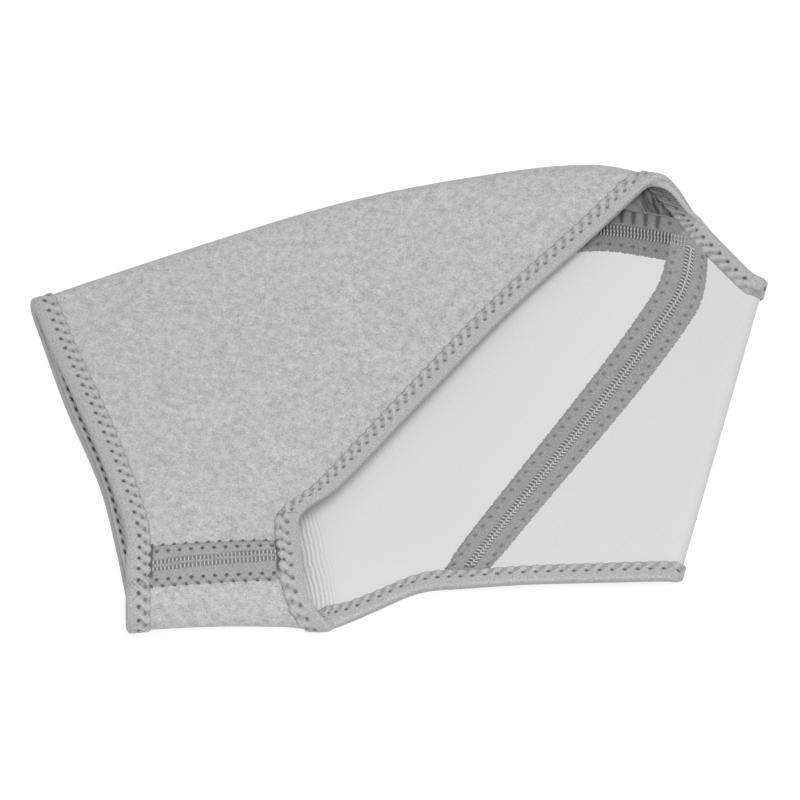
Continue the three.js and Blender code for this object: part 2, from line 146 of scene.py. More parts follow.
# Line about which the band turns under, from the neck edge to the hem
TURN_TOP = np.array([148.2, 52.7])
TURN_BOTTOM = np.array([111.5, -90.8])
TURN_ALONG = (TURN_BOTTOM - TURN_TOP) / np.linalg.norm(TURN_BOTTOM - TURN_TOP)
TURN_OUT = np.array([-TURN_ALONG[1], TURN_ALONG[0]])

# Sewing: zigzag stitches hold the bindings and the tapes' edges, ladder stitches the seams
ZIGZAG_PITCH = 5.2
NEAR_ROW = 3.3
FAR_ROW = 6.1
ZIGZAG_ROWS = (NEAR_ROW, FAR_ROW)
TAPE_PITCH = 5.1
TAPE_HOLES = 6.9
TAPE_BITE = 10.6
TAPE_INSIDE = 9.2
LADDER_PITCH = 1.67
SHOULDER_PITCH = 1.43
THREAD = 0.2
RUNG = 0.38
BITE = 0.5

# The lining's ribs run along the cuff, and it gathers beside the armpit, where lines of shade are painted
# along its gathers
RIB_ACROSS = np.array([0.936, 0.352])
GATHER_FROM = np.array([-42.4, -57.0])
GATHER_ACROSS = np.array([0.985, 0.172])
GATHER_WIDTH = 12.0
GATHER_PITCH = 1.9
GATHER_TOP = (-58.0, -45.0)


# Shapes of the cloth

def smooth(low, high, value):
    share = np.clip((value - low) / (high - low), 0, 1)
    return share * share * (3 - 2 * share)


def unit(vectors):
    return vectors / np.linalg.norm(vectors, axis=-1, keepdims=True)


def dot(first, second):
    return (first * second).sum(axis=-1, keepdims=True)


def paired(u, v):
    """Two measures as pairs, in the shape that both fill."""
    return np.stack(np.broadcast_arrays(u, v), axis=-1)


def line(rows):
    """A smooth line through the rows of a table, one cubic between each two rows."""
    table = np.array(rows)
    at, values = table[:, 0], table[:, 1:]
    order = np.arange(len(at))
    before, after = np.maximum(order - 1, 0), np.minimum(order + 1, len(at) - 1)
    slopes = (values[after] - values[before]) / (at[after] - at[before])[:, None]

    def place(share):
        share = np.asarray(share, float)
        k = np.clip(np.searchsorted(at, share) - 1, 0, len(at) - 2)
        span = (at[k + 1] - at[k])[..., None]
        s = (share - at[k])[..., None] / span
        rise = values[k + 1] - values[k]
        a = slopes[k] * span - rise
        b = rise - slopes[k + 1] * span
        return values[k] + s * rise + s * (1 - s) * ((1 - s) * a + s * b)

    return place


def fill_between(left, right, low, high):
    """A surface that fills the four lines round it."""
    corners = [left(0), right(0), left(1), right(1)]

    def place(across, up):
        a, u = across[..., None], up[..., None]
        sides = left(up) * (1 - a) + right(up) * a
        ends = low(across) * (1 - u) + high(across) * u
        bottom = corners[0] * (1 - a) + corners[1] * a
        top = corners[2] * (1 - a) + corners[3] * a
        return sides + ends - bottom * (1 - u) - top * u

    return place


def bezier(points, share):
    s = share[..., None]
    weights = [(1 - s) ** 3, 3 * s * (1 - s) ** 2, 3 * s * s * (1 - s), s ** 3]
    return sum(weight * point for weight, point in zip(weights, points))


underarm_seam = line(UNDERARM_SEAM)
shoulder_fold = line(SHOULDER_FOLD)
shoulder_reach = line(SHOULDER_REACH)
underarm_reach = line(UNDERARM_ROLL)
slanted_seam = line(SLANTED_SEAM)
front_cloth = fill_between(line(CUFF_FRONT), line(FRONT_EDGE), underarm_seam, shoulder_fold)
back_plan = fill_between(line(CUFF_BACK), slanted_seam, line(BACK_TOP), line(BACK_BOTTOM))


def cloth_height(plan, sag):
    """Height of the lower cloth: up over the turned-under flap, down to the table elsewhere."""
    inward = (TURN_TOP - plan) @ TURN_OUT
    lifted = 1 - smooth(LIFT_FULL, LIFT_NONE, inward)
    return REST_HEIGHT + LIFT * lifted - SAG_TO_TABLE * sag * (1 - lifted)


def back_cloth(across, down):
    plan = back_plan(across, down)
    sag = smooth(*SAG_ACROSS, across) * (1 - smooth(*SAG_DOWN, down))
    return np.concatenate([plan, cloth_height(plan, sag)[..., None]], axis=-1)


def shoulder_turn(across, turned):
    """The cloth turns over at the shoulder; towards the neck it leans along the fold."""
    front = shoulder_fold(across)
    back = back_cloth(across, np.zeros_like(across))
    after, before = np.minimum(across + FOLD_STEP, 1), np.maximum(across - FOLD_STEP, 0)
    along = shoulder_fold(after) - shoulder_fold(before)
    along[..., 2] = 0
    along = unit(along)
    out = np.stack([-along[..., 1], along[..., 0], along[..., 2]], axis=-1)
    front_reach, back_reach, lean = np.moveaxis(shoulder_reach(across)[..., None], -2, 0)
    longer = np.sqrt(1 + lean * lean)
    front_handle = front + (out + along * lean) / longer * front_reach
    back_handle = back + (out - along * lean) / longer * back_reach
    return bezier([front, front_handle, back_handle, back], turned)


def underarm_turn(across, turned):
    """The cloth rolls up from the table to the underarm seam."""
    along = across / ARMPIT
    low = back_cloth(across, np.ones_like(across))
    high = underarm_seam(along) - np.array([0, BUTT_GAP, 0])
    reach = underarm_reach(along)
    forward = np.array([0, -1, 0])
    handles = low + forward * reach[..., :1], high + forward * reach[..., 1:]
    return bezier([low, *handles, high], turned)


SLEEVE_SPANS = [front_cloth, shoulder_turn, back_cloth, underarm_turn]


def sleeve(across, row):
    """The middle of the sleeve's wall: row 0 to 1 is its front, then shoulder, back and underarm."""
    span = np.clip(np.floor(row), 0, len(SLEEVE_SPANS) - 1)
    points = np.zeros(across.shape + (3,))
    for k, place in enumerate(SLEEVE_SPANS):
        here = span == k
        points[here] = place(across[here], row[here] - k)
    return points


def band(run, down):
    """The middle of the band's wall: run 0 to 1 is flat, then it turns under and comes back."""
    turn = TURN_TOP + (TURN_BOTTOM - TURN_TOP) * down[..., None]
    seam = slanted_seam(down) + TURN_OUT * BUTT_GAP
    flat = seam + (turn - seam) * np.clip(run, 0, 1)[..., None]
    angle = math.pi * np.clip(run - 1, 0, 1)
    out = FOLD_RADIUS * np.sin(angle) - FLAP_LENGTH * np.clip(run - 2, 0, 1)
    up = FLAP_SHIFT * (1 - np.cos(angle)) / 2
    plan = flat + TURN_OUT * out[..., None] - TURN_ALONG * up[..., None]
    turned = REST_HEIGHT + FOLD_RADIUS * (1 + np.cos(angle))
    height = np.where(run <= 1, cloth_height(plan, 0.0), turned)
    return np.concatenate([plan, height[..., None]], axis=-1)


def normals(surface, u, v, last_u, last_v, step=0.02):
    """Directions out of the grey side of the cloth."""
    along_u = surface(np.minimum(u + step, last_u), v) - surface(np.maximum(u - step, 0), v)
    along_v = surface(u, np.minimum(v + step, last_v)) - surface(u, np.maximum(v - step, 0))
    return unit(np.cross(along_u, along_v))


def sleeve_normals(across, row):
    last = np.where(across > ARMPIT, 3.0, 4.0)
    return normals(sleeve, across, row, 1.0, last)


def band_normals(run, down):
    return normals(band, run, down, 3.0, 1.0)


# Meshes

def in_frame(points):
    return (points - TABLE_CENTRE) * MM


def made_mesh(name, bm):
    mesh = bpy.data.meshes.new(name)
    bm.to_mesh(mesh)
    bm.free()
    return mesh


def mesh_of(name, points, uv, welded=False, cut=None, turned=False, **marks):
    """A mesh of a grid of points, rows by columns, with a UV map; welded closes it on itself.

    Marks are shares at each point that the finish reads, such as how much shade or light is painted there.
    """
    rows, columns = points.shape[:2]
    bm = bmesh.new()
    bmesh.ops.create_grid(bm, x_segments=columns - 1, y_segments=rows - 1, size=0.5)
    mesh = made_mesh(name, bm)
    cloth_map = mesh.uv_layers.new(name="cloth")
    corners = np.empty(len(mesh.loops), int)
    mesh.loops.foreach_get("vertex_index", corners)
    cloth_map.data.foreach_set("uv", uv.reshape(-1, 2)[corners].ravel())
    mesh.vertices.foreach_set("co", in_frame(points).reshape(-1, 3).ravel())
    for mark, shares in marks.items():
        values = np.broadcast_to(shares, points.shape[:2]).ravel().astype(np.float32)
        mesh.attributes.new(mark, "FLOAT", "POINT").data.foreach_set("value", values)
    bm = bmesh.new()
    bm.from_mesh(mesh)
    if cut is not None:
        gone = np.flatnonzero(cut.ravel())
        bm.faces.ensure_lookup_table()
        bmesh.ops.delete(bm, geom=[bm.faces[int(k)] for k in gone], context="FACES")
    for face in bm.faces:
        face.smooth = True
    if turned:
        bmesh.ops.reverse_faces(bm, faces=bm.faces)
    if welded:
        bmesh.ops.remove_doubles(bm, verts=bm.verts, dist=WELD * MM)
        ends = bmesh.ops.holes_fill(bm, edges=[e for e in bm.edges if e.is_boundary], sides=0)["faces"]
        bmesh.ops.recalc_face_normals(bm, faces=bm.faces)
        for face in ends:
            face.smooth = False
            for edge in face.edges:
                edge.smooth = False
    bm.to_mesh(mesh)
    bm.free()
    return mesh


def put(name, data):
    """A new object in the scene."""
    made = bpy.data.objects.new(name, data)
    bpy.context.collection.objects.link(made)
    return made


def add_piece(name, mesh, finish):
    piece = put(name, mesh)
    mesh.materials.append(FINISHES[finish])
    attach(piece, "root")
    return piece


def add_cloth(node, mesh, finish):
    """A piece of cloth that takes the place of a node of the solids."""
    piece = add_piece(node + "_cloth", mesh, finish)
    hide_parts(node)
    return piece


def thicken(piece):
    """Gives a cloth its layer of the wall, inwards from the face that it was laid on."""
    solid = piece.modifiers.new("wall", "SOLIDIFY")
    solid.thickness = WALL_LAYER * MM
    solid.offset = -1
    return piece


# Materials

KNIT_GREYS = (0.205, 0.56)
LINING_GREYS = (0.53, 0.575)
# painted shade: grey lines along the lining's gathers
GATHER_SHADE_GREY = 0.35
# painted shade: the cloth deep in the hollow under the shoulder, near black
HOLLOW_SHADE_GREY = 0.02
BINDING_GREY = 0.34
TAPE_GREY = 0.275
THREAD_GREYS = {
    "binding_thread": 0.33,
    "tape_thread": 0.22,
    "ladder_thread": 0.41,
    "shaded_ladder": 0.34,
    # painted shade: the bites over the tape's edges are near black, as their shadows
    "shaded_tape_bites": 0.09,
}
RIB_PITCH = 1.45 * MM
RIB_WAVER = 0.6 * MM
BINDING_HOLES = [(NEAR_ROW, 0.0, 1.0), (FAR_ROW, 0.5, 0.6)]
BINDING_HOLE_RADIUS = 1.25
TAPE_HOLE_RADIUS = 1.3


def new_finish(name):
    finish = bpy.data.materials.new(name)
    finish.use_nodes = True
    tree = finish.node_tree
    return finish, tree, tree.nodes["Principled BSDF"]


def add(tree, kind, **settings):
    """A node with its settings; one named in_ and a number goes to the socket of that number."""
    made = tree.nodes.new("ShaderNode" + kind)
    for key, value in settings.items():
        if not key.startswith("in_"):
            setattr(made, key, value)
            continue
        socket = made.inputs[int(key[3:])]
        if isinstance(value, bpy.types.NodeSocket):
            tree.links.new(value, socket)
        else:
            socket.default_value = value
    return made


def calc(tree, operation, first, second=0.0):
    return add(tree, "Math", operation=operation, in_0=first, in_1=second).outputs[0]


def weighted(tree, *parts):
    """The sum of values, each with its weight."""
    total = 0.0
    for value, weight in parts:
        total = calc(tree, "ADD", calc(tree, "MULTIPLY", value, weight), total)
    return total


def span(tree, value, low, high, to_low=0.0, to_high=1.0, easing="LINEAR"):
    """A value spread from one range to another."""
    return add(tree, "MapRange", interpolation_type=easing, in_0=value, in_1=low, in_2=high,
               in_3=to_low, in_4=to_high).outputs[0]


def ripple(tree, value, pitch):
    return calc(tree, "SINE", calc(tree, "MULTIPLY", value, 2 * math.pi / pitch))


def grey(value):
    return (value, value, value, 1.0)


def blend(tree, share, first, second):
    return add(tree, "Mix", data_type="RGBA", in_0=share, in_6=first, in_7=second).outputs[2]


def coordinates(tree):
    """Places on the object, and on its cloth's own map."""
    places = add(tree, "TexCoord").outputs
    return places["Object"], places["UV"]


def marked(tree, name):
    """A share that the mesh holds at each point."""
    return add(tree, "Attribute", attribute_name=name).outputs["Fac"]


def noise(tree, place, scale, detail=2.0, rough=0.5):
    return add(tree, "TexNoise", in_0=place, in_2=scale, in_3=detail, in_4=rough).outputs[0]


def stretched(tree, place, along, across, rough=0.6):
    """Noise that is stretched to its own scale along and across the cloth."""
    scaled = add(tree, "Mapping", in_0=place, in_3=(along, across, 1.0)).outputs[0]
    return noise(tree, scaled, 1.0, rough=rough)


def spots(tree, u, v, rows, pitch, radius):
    """A mask of needle holes: rows are distances across with their phase along and their strength."""
    mask = 0.0
    for distance, phase, strength in rows:
        shifted = calc(tree, "FRACT", calc(tree, "ADD", u, phase + 0.5))
        along = calc(tree, "MULTIPLY", calc(tree, "SUBTRACT", shifted, 0.5), pitch)
        across = calc(tree, "SUBTRACT", v, distance)
        squares = [calc(tree, "MULTIPLY", way, way) for way in (along, across)]
        away = calc(tree, "SQRT", calc(tree, "ADD", *squares))
        near = span(tree, away, radius, 0.25 * radius, 0.0, strength, "SMOOTHSTEP")
        mask = calc(tree, "MAXIMUM", near, mask)
    return mask


def dress(tree, shader, colour, height, rough, gloss, sheen, bump):
    """Gives a cloth its colour, its soft gloss and its bump, with the bump's strength and depth."""
    tree.links.new(colour, shader.inputs["Base Color"])
    shader.inputs["Roughness"].default_value = rough
    shader.inputs["Specular IOR Level"].default_value = gloss
    shader.inputs["Sheen Weight"].default_value = sheen
    relief = add(tree, "Bump", in_0=bump[0], in_1=bump[1] * MM, in_3=height)
    tree.links.new(relief.outputs[0], shader.inputs["Normal"])


def grey_knit():
    """Brushed heather knit: soft blotches, short fibres and a fuzzy bump."""
    finish, tree, shader = new_finish("grey_knit")
    place, cloth = coordinates(tree)
    blotch = noise(tree, place, 320.0, 1.0)
    weft = stretched(tree, cloth, 600.0, 2400.0)
    warp = stretched(tree, cloth, 2400.0, 600.0)
    fibre = weighted(tree, (weft, 0.5), (warp, 0.5))
    speck = noise(tree, place, 1500.0, rough=0.7)
    tone = weighted(tree, (blotch, 0.2), (fibre, 0.52), (speck, 0.28))
    colour = blend(tree, span(tree, tone, 0.34, 0.66), *map(grey, KNIT_GREYS))
    height = weighted(tree, (fibre, 0.6), (speck, 1.0))
    dress(tree, shader, colour, height, rough=0.95, gloss=0.15, sheen=0.25, bump=(0.5, 0.5))
    shader.inputs["Sheen Roughness"].default_value = 0.6
    return finish


def ribbed_lining():
    """Fine white ribs along the cuff, a little uneven, with grey painted shade in the gathers and dark
    painted shade in the hollow under the shoulder.
    """
    finish, tree, shader = new_finish("ribbed_lining")
    place, cloth = coordinates(tree)
    across = add(tree, "SeparateXYZ", in_0=cloth).outputs[0]
    wavering = weighted(tree, (across, 1.0), (noise(tree, place, 60.0), RIB_WAVER))
    rib = span(tree, ripple(tree, wavering, RIB_PITCH), -1.0, 1.0)
    loops = stretched(tree, cloth, 1600.0, 900.0)
    tone = weighted(tree, (rib, 0.3), (loops, 0.7))
    white = blend(tree, span(tree, tone, 0.1, 0.9), *map(grey, LINING_GREYS))
    gathered = marked(tree, "mark")
    bent = weighted(tree, (gathered, 1.0), (noise(tree, place, 90.0), 0.25))
    waves = ripple(tree, bent, GATHER_PITCH / GATHER_WIDTH)
    gather = calc(tree, "MULTIPLY", span(tree, waves, -0.6, 1.0), span(tree, gathered, 0.15, 0.9))
    gather = calc(tree, "MULTIPLY", gather, span(tree, loops, 0.3, 0.6, 0.5, 1.0))
    # painted shade along the gathers
    colour = blend(tree, gather, white, grey(GATHER_SHADE_GREY))
    # painted shade in the hollow under the shoulder, streaked like creases
    creased = span(tree, stretched(tree, cloth, 900.0, 150.0, rough=0.5), 0.38, 0.58, 0.8, 1.0)
    deep = calc(tree, "MULTIPLY", marked(tree, "deep"), creased)
    colour = blend(tree, deep, colour, grey(HOLLOW_SHADE_GREY))
    height = calc(tree, "SUBTRACT", tone, gather)
    dress(tree, shader, colour, height, rough=0.9, gloss=0.2, sheen=0.15, bump=(0.2, 0.4))
    return finish


def sewn_knit(name, tone, pitch, rows, radius, roll=0.0):
    """Grey knit strip with needle holes, for bindings, whose two faces lie a roll apart, and tapes.

    A mark at a point paints shade on its cloth, or paints light on it below nothing, and the holes,
    darkened as painted shade, may be faint there.
    """
    finish, tree, shader = new_finish(name)
    place, cloth = coordinates(tree)
    along, near_side, _ = add(tree, "SeparateXYZ", in_0=cloth).outputs
    far_side = calc(tree, "SUBTRACT", calc(tree, "MULTIPLY", near_side, -1.0), roll)
    across = calc(tree, "MAXIMUM", near_side, far_side)
    open_share = calc(tree, "SUBTRACT", 1.0, marked(tree, "faint"))
    hole = calc(tree, "MULTIPLY", spots(tree, along, across, rows, pitch, radius), open_share)
    knit = stretched(tree, cloth, 9.0, 3.0)
    speck = noise(tree, place, 1400.0, rough=0.7)
    mottle = weighted(tree, (knit, 0.5), (speck, 0.5))
    shade_and_light = marked(tree, "mark")
    colour = blend(tree, span(tree, mottle, 0.3, 0.7), grey(0.5 * tone), grey(1.5 * tone))
    # painted light where the mark is below nothing, and painted shade where it is above
    colour = blend(tree, span(tree, shade_and_light, 0.0, -1.0), colour, grey(2.0 * tone))
    colour = blend(tree, shade_and_light, colour, grey(0.2 * tone))
    # painted shade in the needle holes
    colour = blend(tree, hole, colour, grey(0.24 * tone))
    height = weighted(tree, (mottle, 1.0), (hole, -2.0))
    dress(tree, shader, colour, height, rough=0.9, gloss=0.2, sheen=0.2, bump=(0.3, 0.4))
    return finish


def twisted_thread(name, tone):
    finish, tree, shader = new_finish(name)
    twist = noise(tree, coordinates(tree)[0], 2500.0)
    colour = blend(tree, twist, grey(0.85 * tone), grey(1.15 * tone))
    tree.links.new(colour, shader.inputs["Base Color"])
    shader.inputs["Roughness"].default_value = 0.7
    return finish


FINISHES = {
    "grey_knit": grey_knit(),
    "ribbed_lining": ribbed_lining(),
    "edge_binding": sewn_knit(
        "edge_binding", BINDING_GREY, ZIGZAG_PITCH, BINDING_HOLES, BINDING_HOLE_RADIUS, ROLL_ARC),
    "seam_tape": sewn_knit(
        "seam_tape", TAPE_GREY, TAPE_PITCH, [(TAPE_HOLES, 0.5, 1.0)], TAPE_HOLE_RADIUS),
}
for thread, tone in THREAD_GREYS.items():
    FINISHES[thread] = twisted_thread(thread, tone)


# Panels

SLEEVE_COLUMNS = 132
SLEEVE_ROWS = (88, 14, 92, 22)
SLEEVE_LENGTHS = (185.0, 25.0, 190.0, 45.0)
BAND_RUNS = (46, 12, 22)
BAND_ROWS = 84
BAND_LENGTH = 180.0
# painted shade: the band's lining is darkened a little all over
BAND_SHADE = 0.05
GATHER_SPILL = -0.7
# Painted shade in the hollow under the shoulder: how dark, and where across and along the sleeve
HOLLOW_SHADE = 0.97
HOLLOW_ACROSS = (0.905, 0.96)
HOLLOW_FROM = (1.1, 1.5)
HOLLOW_TO = (2.05, 2.1)


def spread(counts):
    """Rows at whole and part numbers: so many between each two whole ones."""
    rows = [k + np.arange(count) / count for k, count in enumerate(counts)]
    return np.concatenate([*rows, [float(len(counts))]])


def rib_map(points, along):
    """UV in metres: across the ribs, and along them."""
    return paired((points[..., :2] @ RIB_ACROSS) * MM, along * MM)


def gathers(points, row):
    """How near the back cloth lies to the armpit, from 1 beside it to 0: how much shade is painted in its
    gathers.
    """
    away = (points[..., :2] - GATHER_FROM) @ GATHER_ACROSS / GATHER_WIDTH
    on_back = (away > GATHER_SPILL) & (row >= 2) & (row <= 3)
    near = np.where(on_back, np.clip(1 - away, 0, None), 0)
    return near * (1 - smooth(*GATHER_TOP, points[..., 1]))


def shade_under_shoulder(across, row):
    """How much shade is painted on the cloth in the hollow under the shoulder, beside the neck."""
    beside_neck = smooth(*HOLLOW_ACROSS, across)
    return HOLLOW_SHADE * beside_neck * smooth(*HOLLOW_FROM, row) * (1 - smooth(*HOLLOW_TO, row))


def lay_sleeve(name, height, finish):
    """One layer of the sleeve panel; its face lies at a height over the middle of the wall."""
    across = np.linspace(0, 1, SLEEVE_COLUMNS + 1)[None, :]
    row = spread(SLEEVE_ROWS)[:, None]
    a, r = np.broadcast_arrays(across, row)
    points = sleeve(a, r) + sleeve_normals(a, r) * height
    lengths = np.concatenate([[0], np.cumsum(SLEEVE_LENGTHS)])
    uv = rib_map(points, np.interp(row, np.arange(len(lengths)), lengths))
    under = (r[1:, 1:] > 3) & (a[1:, 1:] > ARMPIT)
    # The lining's marks paint shade: in lines along its gathers, and deep in the hollow under the shoulder
    mesh = mesh_of(name, points, uv, cut=under, turned=height < 0, mark=gathers(points, r),
                   deep=shade_under_shoulder(a, r))
    return thicken(add_cloth(name, mesh, finish))


def lay_band(name, height, finish):
    """One layer of the band, laid like the sleeve's."""
    r, d = np.broadcast_arrays(spread(BAND_RUNS)[None, :], np.linspace(0, 1, BAND_ROWS + 1)[:, None])
    points = band(r, d) + band_normals(r, d) * height
    # painted shade: the deep mark darkens the band's lining a little
    mesh = mesh_of(name, points, rib_map(points, BAND_LENGTH * d), turned=height < 0, deep=BAND_SHADE)
    return thicken(add_cloth(name, mesh, finish))


sleeve_outer = lay_sleeve("sleeve_outer", HALF_WALL, "grey_knit")
sleeve_lining = lay_sleeve("sleeve_lining", -HALF_WALL, "ribbed_lining")
band_outer = lay_band("band_outer", HALF_WALL, "grey_knit")
band_lining = lay_band("band_lining", -HALF_WALL, "ribbed_lining")


# Bindings

STATION_GAP = 0.5
PATH_STEPS = 60
SOFTEN = 2.4
SOFT_REACH = 14
FLANGE = np.concatenate([[BINDING_WIDTH, BINDING_WIDTH - 0.15], np.linspace(BINDING_WIDTH - 0.5, 0, 20)])
REACH = np.concatenate([[13.0, 12.0, 11.0, 10.0, 9.2], FLANGE])
FLANGE_FROM = len(REACH) - len(FLANGE)
INNER_FLANGE = np.array([0.0, 3.0, 6.0, BINDING_WIDTH])
ROLL_TURNS = np.linspace(90, -90, 11)[1:-1]
UNDER_BINDING = HALF_WALL + SEWN_GAP
LEAST_CLOTH = 0.15

# Shape of the petals
PUFF = 0.65
PETAL_ROUND = 0.8
RIM_WIDTH = 0.9
RIM_THIN = 0.7
SCALLOP_WIDTH = 2.5
SCALLOP_MIDDLE = 0.7
INSIDE_SCALLOP = 0.5
HOLE_DEPTH = 0.6
GROOVE = 0.2
GROOVE_HALF = 0.6
CROSSED_GROOVE = 0.4
MOST_SLANT = 7.0

# Marks on a binding, painted shade and light: shade in the grooves between its petals, a highlight on
# their crowns, shade at the rim, shade round the holes with light on the rest, stripes along the lip,
# streaks of shade, and shade at its join
GROOVE_SHADE_OUTSIDE = 0.2
GROOVE_SHADE_INSIDE = 0.25
GROOVE_SHADE_CUFF = 0.1
GROOVE_SHADE_NECK = 0.45
CROWN_HIGHLIGHT = 0.12
RIM_SHADE = 0.12
LIP_SHADE_STRIPES = 0.14
# painted shade round the cuff's near holes, and painted light on the rest of its inside
HOLE_SHADE_RADIUS = 1.5
PAINTED_LIGHT = 0.8
FAINT_INSIDE = 0.85
FAINT_OUTSIDE = 0.3
ROW_HALF = 0.9
SHADE_PITCH = 1.9
SHADE_MIDDLE = 0.85
SHADE_SWING = 0.15
JOIN_HALF = 1.9
JOIN_SHADE = 0.25
CROSS_PITCH = 2.2
CROSS_SHADE = 0.45


def places_from(surface, out_of, u, v, inward, insets=REACH):
    """Places at distances from an edge, along paths that run inwards from it."""
    starts = paired(u, v)
    inward = np.broadcast_to(inward, starts.shape)[:, None, :]
    starts = starts[:, None, :]
    steps = np.linspace(0, 1, PATH_STEPS)
    params = starts + inward * steps[:, None]
    points = surface(params[..., 0], params[..., 1])
    lengths = np.linalg.norm(np.diff(points, axis=1), axis=2).cumsum(axis=1)
    lengths = np.pad(lengths, ((0, 0), (1, 0)))
    shares = np.array([np.interp(insets, row, steps) for row in lengths])
    u, v = np.moveaxis(starts + inward * shares[..., None], -1, 0)
    return np.concatenate([surface(u, v), out_of(u, v)], axis=-1)


sleeve_edge = partial(places_from, sleeve, sleeve_normals)
band_edge = partial(places_from, band, band_normals)


def evenly(stations, closed=False, soften=SOFTEN):
    """Stations again at even distances, with corners softened, and the length that they run."""
    if closed:
        stations = np.concatenate([stations, stations[:1]])
    middle = stations[:, stations.shape[1] // 2, :3]
    lengths = np.concatenate([[0], np.linalg.norm(np.diff(middle, axis=0), axis=1).cumsum()])
    count = int(round(lengths[-1] / STATION_GAP))
    at = np.linspace(0, lengths[-1], count + 1)
    flat = stations.reshape(len(stations), -1)
    even = np.stack([np.interp(at, lengths, column) for column in flat.T], axis=1)
    reach = np.arange(-SOFT_REACH, SOFT_REACH + 1)
    weights = np.exp(-0.5 * (reach * STATION_GAP / soften) ** 2)
    weights /= weights.sum()
    if closed:
        padded = np.concatenate([even[-SOFT_REACH - 1:-1], even, even[1:SOFT_REACH + 1]])
    else:
        padded = np.pad(even, ((SOFT_REACH, SOFT_REACH), (0, 0)), mode="reflect", reflect_type="odd")
    even = sum(weight * padded[k:k + len(even)] for k, weight in enumerate(weights))
    return even.reshape(-1, *stations.shape[1:]), lengths[-1]


def stitch_places(stations, length, pitch):
    """Distances of the stations along a strip, how many stitches fit on it and their true pitch."""
    count = max(1, round(length / pitch))
    return np.linspace(0, length, len(stations))[:, None], count, length / count


def stitch_dents(along, across, rows, pitch, radius=0.7):
    """How far the needle pulls the cloth in, at places along and across a strip."""
    dent = np.zeros(np.broadcast(along, across).shape)
    for distance, phase in rows:
        off = (np.mod(along / pitch + phase + 0.5, 1) - 0.5) * pitch
        dent = np.maximum(dent, np.exp(-(off ** 2 + (across - distance) ** 2) / radius ** 2))
    return dent


def slanted_share(along, pitch, lean):
    """How far round a place lies from one slanted stitch to the next."""
    rise = (FLANGE - NEAR_ROW) / (FAR_ROW - NEAR_ROW)
    return np.mod(along / pitch - 0.5 * lean * np.clip(rise, 0, 1.1), 1)


def pressed_in(share, pitch):
    """How far a slanted thread presses the cloth in."""
    wide = FAR_ROW - NEAR_ROW
    off = np.minimum(share, 1 - share) * pitch * wide / math.hypot(pitch / 2, wide)
    past_holes = smooth(NEAR_ROW - 0.8, NEAR_ROW + 0.4, FLANGE)
    return np.exp(-(off / GROOVE_HALF) ** 2) * past_holes


def petals(along, pitch, lean, groove_shade, hole_shade_and_light=0.0):
    """The height, the scallops and the marks of a binding's face: petals like a rope's strands.

    Marks are painted shade and light: shade in the grooves between two petals and at the rim, a highlight
    on each crown, and, where asked, shade round the near holes with light on the rest.
    """
    share = slanted_share(along, pitch, lean)
    deep = pressed_in(share, pitch)
    crossed = pressed_in(slanted_share(along, pitch, -lean), pitch)
    crown = np.sin(math.pi * share)
    round_up = crown ** PETAL_ROUND
    sewn = smooth(NEAR_ROW - 1.0, NEAR_ROW + 1.0, FLANGE)
    rim = smooth(RIM_WIDTH, 0.0, BINDING_WIDTH - FLANGE)
    holes = stitch_dents(along, FLANGE, [(NEAR_ROW, 0.0), (FAR_ROW, 0.5)], pitch)
    dent = np.maximum(HOLE_DEPTH * holes, GROOVE * np.maximum(deep, CROSSED_GROOVE * crossed))
    height = BINDING_HEIGHT - PUFF * (1 - round_up) * sewn - dent - RIM_THIN * rim
    scalloped = smooth(BINDING_WIDTH - SCALLOP_WIDTH, BINDING_WIDTH, FLANGE)
    scallop = (round_up - SCALLOP_MIDDLE) * scalloped
    # painted shade in the grooves and at the rim, and a painted highlight on each crown
    shade_and_light = groove_shade * (1 - crown) * sewn + RIM_SHADE * rim - CROWN_HIGHLIGHT * crown ** 3 * sewn * (1 - rim)
    # painted shade round the near holes, and painted light on the rest
    hole_shade = hole_shade_and_light * stitch_dents(along, FLANGE, [(NEAR_ROW, 0.0)], pitch, HOLE_SHADE_RADIUS)
    shade_and_light = shade_and_light * (1 - hole_shade) + hole_shade - PAINTED_LIGHT * hole_shade_and_light * (1 - hole_shade)
    return np.maximum(height, UNDER_BINDING + LEAST_CLOTH), scallop, shade_and_light


def nearer_edge(table, share):
    """The columns of a binding's inside, at a share of the insets of its outside."""
    order = np.arange(len(REACH), dtype=float)[::-1]
    column = np.interp(share * FLANGE, REACH[::-1], order)
    k = np.minimum(column.astype(int), len(REACH) - 2)
    station = np.arange(len(table))[:, None]
    part = (column - k)[..., None]
    return table[station, k] * (1 - part) + table[station, k + 1] * part


def around(*parts):
    """Joins the parts of a strip's contour into one row for each station."""
    return np.concatenate(parts, axis=1)


